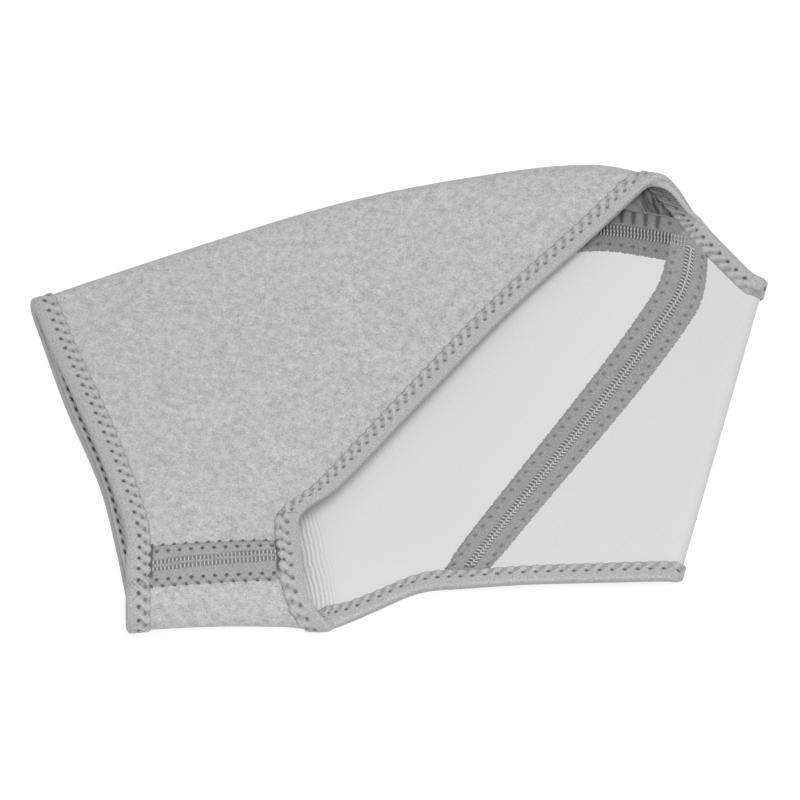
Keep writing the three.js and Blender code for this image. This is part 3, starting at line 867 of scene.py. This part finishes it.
def sew_binding(name, runs, lean, inside, closed=False, groove_shade=GROOVE_SHADE_INSIDE, hole_shade_and_light=0.0, join=0.0, faint=0.0):
    """A binding folded round the edge that the runs follow, with the places of its stitches.

    Its inside is a table: share of the way along, how wide it is to the outside, how much shade is painted
    on it, in streaks, and how much fuller the roll is there. Shade is painted in the grooves between its
    petals and may be painted round its near holes, with painted light on the rest. A join, so far from
    its end, gets painted shade and a painted criss-cross. The holes of its outside may be faint.
    """
    runs = np.concatenate(runs)
    cloth = evenly(runs, closed, STATION_GAP / 4)[0][..., :3]
    stations, length = evenly(runs, closed)
    points, out = stations[..., :3], unit(stations[..., 3:])
    off_cloth = dot(cloth - points, out)
    along, count, pitch = stitch_places(stations, length, ZIGZAG_PITCH)
    edge, edge_out = points[:, -1:], out[:, -1:]
    tangent = unit(np.gradient(edge, axis=0))
    away = edge - points[:, -6:-5]
    away = unit(away - tangent * dot(away, tangent))
    inwards = -unit(np.gradient(points, axis=1))
    slant = np.clip(dot(points - edge, tangent), -MOST_SLANT, MOST_SLANT)
    tables = points, inwards, out, slant, off_cloth

    face, face_in, face_out, face_slant, _ = (table[:, FLANGE_FROM:] for table in tables)
    top_along = along + face_slant[..., 0]
    height, scallop, mark = petals(top_along, pitch, lean, GROOVE_SHADE_OUTSIDE)
    top = face + face_in * scallop[..., None] + face_out * height[..., None]

    share, shade, fuller = np.moveaxis(line(inside)(along / length), -1, 0)
    base, base_in, base_out, base_slant, base_off = (nearer_edge(table, share) for table in tables)
    bottom_along = along + base_slant[..., 0]
    height, scallop, inside_mark = petals(bottom_along, pitch, -lean, groove_shade, hole_shade_and_light)
    height = height + np.maximum(-base_off[..., 0], 0)
    bottom = base + base_in * (INSIDE_SCALLOP * scallop * share)[..., None] - base_out * height[..., None]
    # painted shade: streaks on the inside, as strong as the table's shade
    shaded_creases = SHADE_MIDDLE + SHADE_SWING * np.sin(2 * math.pi * along / SHADE_PITCH)
    inside_mark = inside_mark * (1 - shade) + shade * shaded_creases

    turns = np.radians(ROLL_TURNS)[:, None]
    bulge = (BINDING_ROLL + fuller)[..., None]
    roll = edge + edge_out * BINDING_HEIGHT * np.sin(turns) + away * bulge * np.cos(turns)
    inner = [int(np.argmin(abs(FLANGE - inset))) for inset in INNER_FLANGE]
    under_top = (face + face_out * UNDER_BINDING)[:, inner]
    under_bottom = (base - base_out * UNDER_BINDING)[:, inner[::-1]]
    contour = around(top, roll, bottom[:, ::-1], under_bottom, under_top, top[:, :1])

    round_edge = -ROLL_ARC * (90 - ROLL_TURNS) / 180
    between = np.full(2 * len(INNER_FLANGE), -ROLL_ARC / 2)
    across = np.concatenate([FLANGE, round_edge, -ROLL_ARC - FLANGE[::-1], between, FLANGE[:1]])
    each = np.ones((len(stations), 1))
    # painted shade and painted highlight in stripes along the lip, for its folds
    lip_stripes = LIP_SHADE_STRIPES * np.cos(np.radians(4 * ROLL_TURNS)) * each
    hidden = 0 * between * each
    marks = around(mark, lip_stripes, inside_mark[:, ::-1], hidden, mark[:, :1])
    place = around(top_along, along + 0 * lip_stripes, bottom_along[:, ::-1], along + hidden, top_along[:, :1])
    uv = paired(place / pitch, across)
    second_row = smooth(NEAR_ROW + ROW_HALF, FAR_ROW - ROW_HALF, FLANGE)
    filled = FAINT_INSIDE * second_row[::-1] * each
    filled = around(0 * mark + faint, 0 * lip_stripes, filled, hidden, 0 * mark[:, :1])
    if join:
        nearby = np.exp(-((length - along - join) / JOIN_HALF) ** 2)
        turn = 2 * math.pi / CROSS_PITCH
        marks += nearby * (JOIN_SHADE + CROSS_SHADE * np.sin(turn * along) * np.sin(turn * across))
    mesh = mesh_of(name, contour, uv, welded=True, mark=marks, faint=filled)
    piece = add_cloth(name, mesh, "edge_binding")
    return piece, dict(points=points, out=out, insets=REACH, length=length, pitch=pitch, count=count,
                       slant=slant)


# Insides of the bindings: share along, width to the outside, painted shade, and how much fuller the roll is
CUFF_INSIDE = [(share, wide, 0.0, 0.0) for share, wide in (
    (0.0, 0.8), (0.45, 0.8), (0.56, 0.5), (0.86, 0.5), (0.94, 0.8), (1.0, 0.8))]
NECK_INSIDE = [
    (0.0, 1.0, 0.0, 0.0),
    (0.66, 1.0, 0.0, 0.0),
    (0.73, 1.5, 1.0, 0.0),
    (0.835, 1.48, 0.95, 0.0),
    (0.868, 1.38, 0.65, 0.35),
    (0.893, 1.31, 0.3, 1.2),
    (0.92, 1.26, 0.05, 0.7),
    (0.95, 1.21, 0.0, 0.1),
    (0.975, 1.18, 0.0, 0.0),
    (1.0, 1.15, 0.0, 0.0),
]
BAND_INSIDE = [
    (0.0, 1.15, 0.0, 0.0),
    (0.03, 1.05, 0.0, 0.0),
    (0.08, 0.8, 0.0, 0.0),
    (0.8, 0.8, 0.0, 0.0),
    (0.836, 0.8, 0.0, 0.6),
    (0.852, 0.8, 0.0, 1.7),
    (0.87, 0.8, 0.0, 1.4),
    (0.888, 0.8, 0.0, 0.9),
    (0.92, 0.8, 0.0, 0.0),
    (1.0, 0.8, 0.0, 0.0),
]

# Ways inwards from the edges, and where the runs of the bindings start and end
ROWS_IN = 0.1
COLUMNS_IN = 0.2
RUN_IN = 0.35
NECK_JOIN = 4 / 6
CORNER_UP = 1 / 12
JOIN_GAP = 0.001
CUFF_STATIONS = (160, 40, 160, 60)
CUFF_JOIN = 7.0
PAST_SEAM = 0.06
SHOULDER_END = 1.98
FLAP_ROUND = 12.0
FLAP_CORNER = 3 - FLAP_ROUND / FLAP_LENGTH
END_FROM = 0.075
HEM_START = 0.995
ARMPIT_ROWS = (3.03, 3.99)
FRONT_START = 0.005

cuff_edge = sleeve_edge(0.0, spread(CUFF_STATIONS)[:-1], (COLUMNS_IN, 0))
cuff_binding, cuff_sewing = sew_binding(
    "cuff_binding", [cuff_edge], -1, CUFF_INSIDE, closed=True, groove_shade=GROOVE_SHADE_CUFF, hole_shade_and_light=1.0, join=CUFF_JOIN)

neck_binding, neck_sewing = sew_binding("neck_binding", [
    sleeve_edge(1.0, np.linspace(CORNER_UP + JOIN_GAP / 2, 1, 160)[:-1], (-COLUMNS_IN, 0)),
    sleeve_edge(1.0, np.linspace(1, SHOULDER_END, 40), (-COLUMNS_IN, 0)),
    band_edge(np.linspace(PAST_SEAM, NECK_JOIN - JOIN_GAP, 60), 0.0, (0, ROWS_IN)),
], 1, NECK_INSIDE, groove_shade=GROOVE_SHADE_NECK, faint=FAINT_OUTSIDE)

fan = np.linspace(0, math.pi / 2, 9)
armpit_fan = np.stack([-COLUMNS_IN * np.sin(fan), -ROWS_IN * np.cos(fan)], axis=-1)
band_binding, band_sewing = sew_binding("band_binding", [
    band_edge(np.linspace(NECK_JOIN + JOIN_GAP, 1, 30)[:-1], 0.0, (0, ROWS_IN)),
    band_edge(np.linspace(1, FLAP_CORNER, 58), 0.0, (0, ROWS_IN)),
    band_edge([3.0], [0.0], (-RUN_IN, ROWS_IN)),
    band_edge(3.0, np.linspace(END_FROM, 1 - END_FROM, 100), (-RUN_IN, 0)),
    band_edge([3.0], [1.0], (-RUN_IN, -ROWS_IN)),
    band_edge(np.linspace(FLAP_CORNER, PAST_SEAM, 150), 1.0, (0, -ROWS_IN)),
    sleeve_edge(np.linspace(HEM_START, ARMPIT + 0.01, 100), 3.0, (0, -ROWS_IN)),
    sleeve_edge(np.full(len(fan), ARMPIT), 3.0, armpit_fan),
    sleeve_edge(ARMPIT, np.linspace(*ARMPIT_ROWS, 60), (-COLUMNS_IN, 0)),
    sleeve_edge(1.0, np.linspace(FRONT_START, CORNER_UP - JOIN_GAP / 2, 20), (-COLUMNS_IN, 0)),
], 1, BAND_INSIDE, faint=FAINT_OUTSIDE)


# Tapes

HALF_TAPE = TAPE_WIDTH / 2 * np.array(
    [0.0, 0.06, 0.12, 0.18, 0.24, 0.3, 0.4, 0.5, 0.58, 0.64, 0.69, 0.74, 0.8, 0.88, 0.95, 0.985, 1.0])
TAPE_ACROSS = np.concatenate([-HALF_TAPE[:0:-1], HALF_TAPE])
TAPE_TOP = UNDER_BINDING + TAPE_THICK
TAPE_CLEAR = 0.02
LOWER_SHARE = 0.84
UPPER_SHARE = 1.15
UNDERARM_ENDS = (6.0, 6.4)
BACK_ENDS = (8.0, 1.5)
SHOULDER_ENDS = (0.6, 1.0)
SHOULDER_CREASED = (7.0, 36.0)
LADDER_CLIMB = 2.4
# Beds of the ladders: from so far to so far from the middle, and how much shade is painted in them
UNDERARM_BED = (0.8, 2.4, 0.6)
BACK_BED = (0.5, 1.8, 0.8)
SHOULDER_BED = (0.0, 2.5, 0.95)
BED_SOFT = 0.4
TUCK = 12.0
TUCK_DEPTH = 0.6
TUCK_UNDER = 0.06
STITCH_DEPTH = 0.45
LADDER_DEPTH = 0.3
CREASE_DEPTH = 0.5
CREASE_HALF = 0.75
CREASE_SPREAD = 0.12
CREASE_FROM = (2.6, 4.2)
# painted shade in the tape's creases
CREASE_SHADE = 0.97
CREASE_FADE = 5.0
SHADED_FROM = (5.5, 10.0)
SHADED_EDGE = 0.5
TIP_FROM = (8.6, 10.0)
TIP_THIN = 0.85
JAG = 1.1
JAG_FROM = (8.0, 10.0)
JAG_MIDDLE = 0.6
JAG_PITCHES = (5.1, 2.9, 1.7, 1.3)
# painted shade at the tape's ends beside the bindings
END_SHADE = 0.85
END_SHADE_FROM = (-8.0, -4.0)
BACK_FAINT = 0.4
# painted shade: the back tape is darkened all over
BACK_SHADE = 0.13
SHOULDER_FAINT = 0.2
# painted shade: the shoulder tape, in the hollow under the shoulder, is darkened all over
SHOULDER_SHADE = 0.42


def both_sides(first, second):
    """Joins the places on both sides of a seam into rows from one long edge of a tape to the other."""
    return np.concatenate([first[:, :0:-1], second], axis=1)


def between_ends(along, length, ends, before, after):
    """How clear a place lies of a tape's two ends, with a soft step from before to after each end."""
    start = smooth(ends[0] - before, ends[0] + after, along)
    return start * smooth(ends[1] - before, ends[1] + after, length - along)


def lay_tape(name, stations, face, bed, ends, climb=0.0, creased=(0.0, 0.0), end_shade=0.0, faint=0.0,
             even_shade=0.0):
    """A tape on one face of the cloth, crowned, with its ends tucked under the bindings.

    Its ladder lies in a bed with painted shade, clear of the ends, and may climb off the middle; one side
    may be creased for a stretch, with painted shade in the creases and along that edge; shade may be
    painted at the ends beside the bindings, its needle holes may be faint, and shade may be painted on its
    cloth all over.
    """
    stations, length = evenly(stations)
    points, out = stations[..., :3], unit(stations[..., 3:] * face)
    along, count, pitch = stitch_places(stations, length, TAPE_PITCH)
    side, away = TAPE_ACROSS, np.abs(TAPE_ACROSS)

    inner, outer, dark = bed
    from_ladder = np.abs(side - climb * along / length)
    past_bed = smooth(outer - BED_SOFT / 2, outer + BED_SOFT, from_ladder)
    in_bed = smooth(inner - BED_SOFT, inner, from_ladder) * (1 - past_bed)
    # painted shade in the ladder's bed
    ladder_bed = in_bed * between_ends(along, length, ends, 1.0, 0.0)
    from_crease = (np.mod(along / pitch, 1) - 0.5) * pitch
    fade_in = smooth(creased[0], creased[0] + CREASE_FADE, along)
    stretch = fade_in * (1 - smooth(creased[1] - CREASE_FADE, creased[1], along))
    wedge = CREASE_HALF + CREASE_SPREAD * np.clip(-side, 0, None)
    # painted shade in the creases and along the shaded edge
    folded = CREASE_SHADE * np.exp(-(from_crease / wedge) ** 2)
    folded = np.maximum(folded, SHADED_EDGE * smooth(*SHADED_FROM, -side))
    shaded_creases = stretch * smooth(*CREASE_FROM, -side) * folded

    tucked = 1 - smooth(0, TUCK, np.minimum(along, length - along))
    dent = STITCH_DEPTH * stitch_dents(along, away, [(TAPE_HOLES, 0.5)], pitch)
    sunk = np.maximum(dent, CREASE_DEPTH * shaded_creases) + LADDER_DEPTH * ladder_bed
    high = TAPE_TOP - TUCK_DEPTH * tucked - sunk - TIP_THIN * smooth(*TIP_FROM, away)
    jag = sum(np.abs(np.cos(math.pi * along / wave)) for wave in JAG_PITCHES) / len(JAG_PITCHES)
    scallop = JAG * (jag - JAG_MIDDLE) * smooth(*JAG_FROM, away) * np.sign(side)
    base = points + unit(np.gradient(points, axis=1)) * scallop[..., None]
    top = base + out * high[..., None]
    low = HALF_WALL + TAPE_CLEAR - TUCK_UNDER * tucked
    bottom = (base + out * low[..., None])[:, [-1, len(TAPE_ACROSS) // 2, 0]]
    across = np.concatenate([TAPE_ACROSS, [TAPE_WIDTH / 2, 0.0, -TAPE_WIDTH / 2], TAPE_ACROSS[:1]])
    # painted shade at the ends, beside the bindings
    end_shade_mask = (1 - between_ends(along, length, ends, 0.5, 0.4)) * smooth(*END_SHADE_FROM, side)
    shade = np.maximum(np.maximum(dark * ladder_bed, shaded_creases), np.maximum(end_shade * end_shade_mask, even_shade))
    marks = around(shade, np.zeros((len(stations), 4)))
    mesh = mesh_of(name, around(top, bottom, top[:, :1]), paired(along / pitch, across),
                   welded=True, mark=marks, faint=faint)
    piece = add_cloth(name, mesh, "seam_tape")
    return piece, dict(points=points, out=out, insets=TAPE_ACROSS, length=length, pitch=pitch, count=count,
                       slant=np.zeros_like(points[..., :1]))


at_underarm = np.linspace(0.05, 0.955, 120)
underarm_places = both_sides(
    sleeve_edge(ARMPIT * at_underarm, 4.0, (0, -0.45), LOWER_SHARE * HALF_TAPE),
    sleeve_edge(at_underarm, 0.0, (0, 0.12), HALF_TAPE))
underarm_tape, underarm_sewing = lay_tape(
    "underarm_tape", underarm_places, 1, UNDERARM_BED, UNDERARM_ENDS, LADDER_CLIMB, end_shade=END_SHADE)

at_back = np.linspace(0.03, 0.965, 160)
back_places = both_sides(
    sleeve_edge(1.0, 2 + at_back, (-0.12, 0), HALF_TAPE),
    band_edge(0.0, at_back, (0.6, 0), HALF_TAPE))
back_tape, back_sewing = lay_tape(
    "back_tape", back_places, -1, BACK_BED, BACK_ENDS, faint=BACK_FAINT, even_shade=BACK_SHADE)

SHOULDER_TAPE_LINE = [(0.5, 0.106), (0.8, 0.108), (0.92, 0.092), (1.0, 0.06)]
at_shoulder = np.linspace(0.995, 0.5, 140)
shoulder_middle = 2 + line(SHOULDER_TAPE_LINE)(at_shoulder)[..., 0]
shoulder_places = both_sides(
    sleeve_edge(at_shoulder, shoulder_middle, (0, -0.09), UPPER_SHARE * HALF_TAPE),
    sleeve_edge(at_shoulder, shoulder_middle, (0, 0.1), HALF_TAPE))
shoulder_tape, shoulder_sewing = lay_tape(
    "shoulder_tape", shoulder_places, -1, SHOULDER_BED, SHOULDER_ENDS, creased=SHOULDER_CREASED,
    faint=SHOULDER_FAINT, even_shade=SHOULDER_SHADE)


# Threads

RING_SHARES = (0.0, 0.2, 0.5, 0.8, 1.0)
THREAD_SIDES = 6
THREAD_ARCH = 0.1
STITCH_SINK = 0.5
LADDER_SINK = 0.25
BITE_SINK = 0.3
SPINE_SIDE = 0.35
BITE_BACK = 1.5
BITE_OVER = 0.6
LIFTED_TO = 8.0
IN_GROOVE = BINDING_HEIGHT - PUFF - 0.3
ON_TAPE = TAPE_TOP - 0.2
ON_LADDER = TAPE_TOP - 0.25
ON_SPINE = TAPE_TOP - 0.15
ON_BITE = TAPE_TOP - 0.5
SHOULDER_LIFT = 0.35


def thread_template():
    """A short straight thread along +Z, with a ring of points at each share of its length."""
    bm = bmesh.new()
    bmesh.ops.create_cone(bm, cap_ends=True, segments=THREAD_SIDES, radius1=1, radius2=1, depth=1)
    uprights = [e for e in bm.edges if abs(e.verts[0].co.z - e.verts[1].co.z) > 0.5]
    bmesh.ops.subdivide_edges(bm, edges=uprights, cuts=len(RING_SHARES) - 2)
    for face in bm.faces:
        face.smooth = len(face.verts) == 4
    return made_mesh("thread", bm)


def on_strip(sewing, along, across, height):
    """Points on a sewn strip: so far along and across it, at a height over the middle of the wall."""
    insets = sewing["insets"]
    order = np.argsort(insets)
    column = np.interp(across, insets[order], order.astype(float))
    j = np.minimum(column.astype(int), len(insets) - 2)
    t = (column - j)[..., None]

    def at(table, place):
        station = np.clip(place / sewing["length"], 0, 1) * (len(table) - 1)
        i = np.minimum(station.astype(int), len(table) - 2)
        s = (station - i)[..., None]
        near = table[i, j] * (1 - t) + table[i, j + 1] * t
        far = table[i + 1, j] * (1 - t) + table[i + 1, j + 1] * t
        return near * (1 - s) + far * s

    along = along - at(sewing["slant"], along)[..., 0]
    away = unit(at(sewing["out"], along))
    return at(sewing["points"], along) + away * height[..., None], away


def lay_threads(name, paths, radius, finish):
    """Joins threads into one piece: a path holds the points of each ring and the way out of the cloth."""
    centres, outs = (np.concatenate(parts) for parts in zip(*paths))
    template = thread_template()
    shape = np.empty(len(template.vertices) * 3)
    template.vertices.foreach_get("co", shape)
    shape = shape.reshape(-1, 3)
    ring = np.rint((shape[:, 2] + 0.5) * (len(RING_SHARES) - 1)).astype(int)
    tangent = unit(np.gradient(centres, axis=1))
    side = unit(np.cross(tangent, outs))
    up = np.cross(side, tangent)
    points = centres[:, ring] + radius * (side[:, ring] * shape[:, :1] + up[:, ring] * shape[:, 1:2])
    bm = bmesh.new()
    for _ in range(len(centres)):
        bm.from_mesh(template)
    mesh = made_mesh(name, bm)
    bpy.data.meshes.remove(template)
    mesh.vertices.foreach_set("co", in_frame(points).ravel())
    return add_piece(name, mesh, finish)


def thread_between(sewing, from_along, from_across, to_along, to_across, surface, sink):
    """Threads that leave the cloth at one hole, lie on the strip and go down at the next."""
    share = np.array(RING_SHARES)
    along = from_along[:, None] + (to_along - from_along)[:, None] * share
    ends = from_across, to_across
    start, end = (np.broadcast_to(place, from_along.shape)[:, None] for place in ends)
    across = start + (end - start) * share
    arch = np.array([-sink, 0.0, THREAD_ARCH, 0.0, -sink])
    height = np.broadcast_to(np.asarray(surface)[..., None] + arch, along.shape)
    return on_strip(sewing, along, across, height)


def zigzag(sewing, rows, surface, phase=0.0):
    """Zigzag stitches between two rows of holes on a strip."""
    at = (np.arange(sewing["count"]) + phase) * sewing["pitch"]
    half = sewing["pitch"] / 2
    there = thread_between(sewing, at, rows[0], at + half, rows[1], surface, STITCH_SINK)
    back = thread_between(sewing, at + half, rows[1], at + 2 * half, rows[0], surface, STITCH_SINK)
    return [there, back]


def rungs(sewing, rows, ends, pitch=LADDER_PITCH, climb=0.0, lift=0.0):
    """Rows of short threads across a tape: a row has its middle, its length and its slant.

    The rows may climb off the middle, and lift where another tape lies over this one's start.
    """
    at = np.arange(ends[0], sewing["length"] - ends[1], pitch)
    off = climb * at / sewing["length"]
    surface = ON_LADDER + lift * (1 - smooth(LIFTED_TO, TUCK, at))
    return [thread_between(sewing, at - slant / 2, off + middle - long / 2, at + slant / 2,
                           off + middle + long / 2, surface, LADDER_SINK)
            for middle, long, slant in rows]


def spine(sewing, ends):
    """A twisted thread that runs along the middle of a tape, over the ends of its rungs."""
    at = np.arange(ends[0], sewing["length"] - ends[1] - LADDER_PITCH, LADDER_PITCH)
    there = at + LADDER_PITCH
    return [thread_between(sewing, at, -SPINE_SIDE, there, SPINE_SIDE, ON_SPINE, LADDER_SINK)]


def bites(sewing):
    """Short stitches that bite over both long edges of a tape."""
    at = np.arange(1, sewing["count"] - 1) * sewing["pitch"]
    start, end = TAPE_BITE - BITE_BACK, TAPE_BITE + BITE_OVER
    return [thread_between(sewing, at, side * start, at + BITE_OVER, side * end, ON_BITE, BITE_SINK)
            for side in (1, -1)]


def sew_tape(name, sewing, ladder, reach, sides=(1, -1), thread="ladder_thread"):
    """The ladder of a tape, and the stitches that hold its long edges, so far from its middle."""
    edges = []
    for side in sides:
        edges += zigzag(sewing, (side * TAPE_HOLES, side * reach), ON_TAPE, 0.5)
    return [
        lay_threads(name + "_stitches", edges, THREAD, "tape_thread"),
        lay_threads(name + "_ladder", ladder, RUNG, thread),
    ]


def sew_edge(name, sewing, inside):
    """The zigzag stitches on both faces of a binding."""
    wide = line(inside)(np.arange(sewing["count"]) / sewing["count"])[..., 0]
    inside_rows = [row * wide for row in ZIGZAG_ROWS]
    other_face = {**sewing, "out": -sewing["out"]}
    both = zigzag(sewing, ZIGZAG_ROWS, IN_GROOVE) + zigzag(other_face, inside_rows, IN_GROOVE)
    return [lay_threads(name + "_stitches", both, THREAD, "binding_thread")]


TWO_ROWS = [(-1.5, 1.7, 0.0), (1.5, 1.7, 0.0)]
SPINE_ROWS = [(-1.2, 1.6, 0.2), (1.2, 1.6, -0.2)]
THREE_ROWS = [(-1.75, 1.6, 0.2), (0.0, 1.4, -0.2), (1.75, 1.6, 0.2)]
cuff_threads = sew_edge("cuff", cuff_sewing, CUFF_INSIDE)
neck_threads = sew_edge("neck", neck_sewing, NECK_INSIDE)
band_threads = sew_edge("band", band_sewing, BAND_INSIDE)
underarm_ladder = rungs(underarm_sewing, TWO_ROWS, UNDERARM_ENDS, climb=LADDER_CLIMB)
underarm_threads = sew_tape("underarm", underarm_sewing, underarm_ladder, TAPE_BITE)
underarm_bites = lay_threads("underarm_bites", bites(underarm_sewing), BITE, "shaded_tape_bites")
underarm_threads.append(underarm_bites)
back_ladder = rungs(back_sewing, SPINE_ROWS, BACK_ENDS) + spine(back_sewing, BACK_ENDS)
back_threads = sew_tape("back", back_sewing, back_ladder, TAPE_INSIDE)
shoulder_ladder = rungs(shoulder_sewing, THREE_ROWS, SHOULDER_ENDS, SHOULDER_PITCH, lift=SHOULDER_LIFT)
shoulder_threads = sew_tape(
    "shoulder", shoulder_sewing, shoulder_ladder, TAPE_INSIDE, (1,), "shaded_ladder")


# Cut sizes of the cloth, in metres

BINDING_CUT = (2 * BINDING_WIDTH + ROLL_ARC) * MM
TAPE_CUT = TAPE_WIDTH * MM

for strip, cut, sewing, held, sewn_on, threads in (
        (cuff_binding, BINDING_CUT, cuff_sewing, "folded", [sleeve_outer], cuff_threads),
        (neck_binding, BINDING_CUT, neck_sewing, "folded", [sleeve_outer, band_outer], neck_threads),
        (band_binding, BINDING_CUT, band_sewing, "folded", [band_outer, sleeve_outer], band_threads),
        (underarm_tape, TAPE_CUT, underarm_sewing, "laid", [sleeve_outer], underarm_threads),
        (back_tape, TAPE_CUT, back_sewing, "laid", [sleeve_lining, band_lining], back_threads),
        (shoulder_tape, TAPE_CUT, shoulder_sewing, "laid", [sleeve_lining], shoulder_threads)):
    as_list(sewn_on)
    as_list(threads)


# Floor, light and camera

VIEW_WIDTH = 0.336
VIEW_DISTANCE = 10.0
VIEW_ELEVATION = math.radians(60)
SENSOR = 36.0
FLOOR_HALF = 3.0
FLOOR_GREY = 0.3
FLOOR_GLOW = 0.75
ROOM_GLOW = 0.47
LAMP_PLACE = (0.22, -0.6, 1.88)
LAMP_SIZE = 1.5
LAMP_POWER = 41.3


def lay_floor():
    finish, _, shader = new_finish("pale_floor")
    shader.inputs["Base Color"].default_value = grey(FLOOR_GREY)
    shader.inputs["Emission Color"].default_value = grey(1.0)
    shader.inputs["Emission Strength"].default_value = FLOOR_GLOW
    shader.inputs["Roughness"].default_value = 0.9
    bm = bmesh.new()
    bmesh.ops.create_grid(bm, x_segments=1, y_segments=1, size=FLOOR_HALF)
    floor = put("floor", made_mesh("floor", bm))
    floor.data.materials.append(finish)


def aim(made, place, towards):
    made.location = place
    made.rotation_mode = "QUATERNION"
    made.rotation_quaternion = towards.to_track_quat("-Z", "Y")


def hang_softbox():
    light = bpy.data.lights.new("overhead_light", "AREA")
    light.size = LAMP_SIZE
    light.energy = LAMP_POWER
    aim(put("overhead_light", light), LAMP_PLACE, -Vector(LAMP_PLACE))


def light_room():
    room = bpy.data.worlds.new("room")
    room.use_nodes = True
    glow = room.node_tree.nodes["Background"]
    glow.inputs["Color"].default_value = grey(1.0)
    glow.inputs["Strength"].default_value = ROOM_GLOW
    bpy.context.scene.world = room
    bpy.context.scene.view_settings.view_transform = "Standard"


def set_camera():
    lens = bpy.data.cameras.new("camera")
    lens.sensor_width = SENSOR
    lens.lens = SENSOR * VIEW_DISTANCE / VIEW_WIDTH
    lens.clip_end = 2 * VIEW_DISTANCE
    camera = put("camera", lens)
    target = Vector(in_frame(np.zeros(3)))
    back = Vector((0, -math.cos(VIEW_ELEVATION), math.sin(VIEW_ELEVATION)))
    aim(camera, target + back * VIEW_DISTANCE, -back)
    bpy.context.scene.camera = camera


lay_floor()
hang_softbox()
light_room()
set_camera()
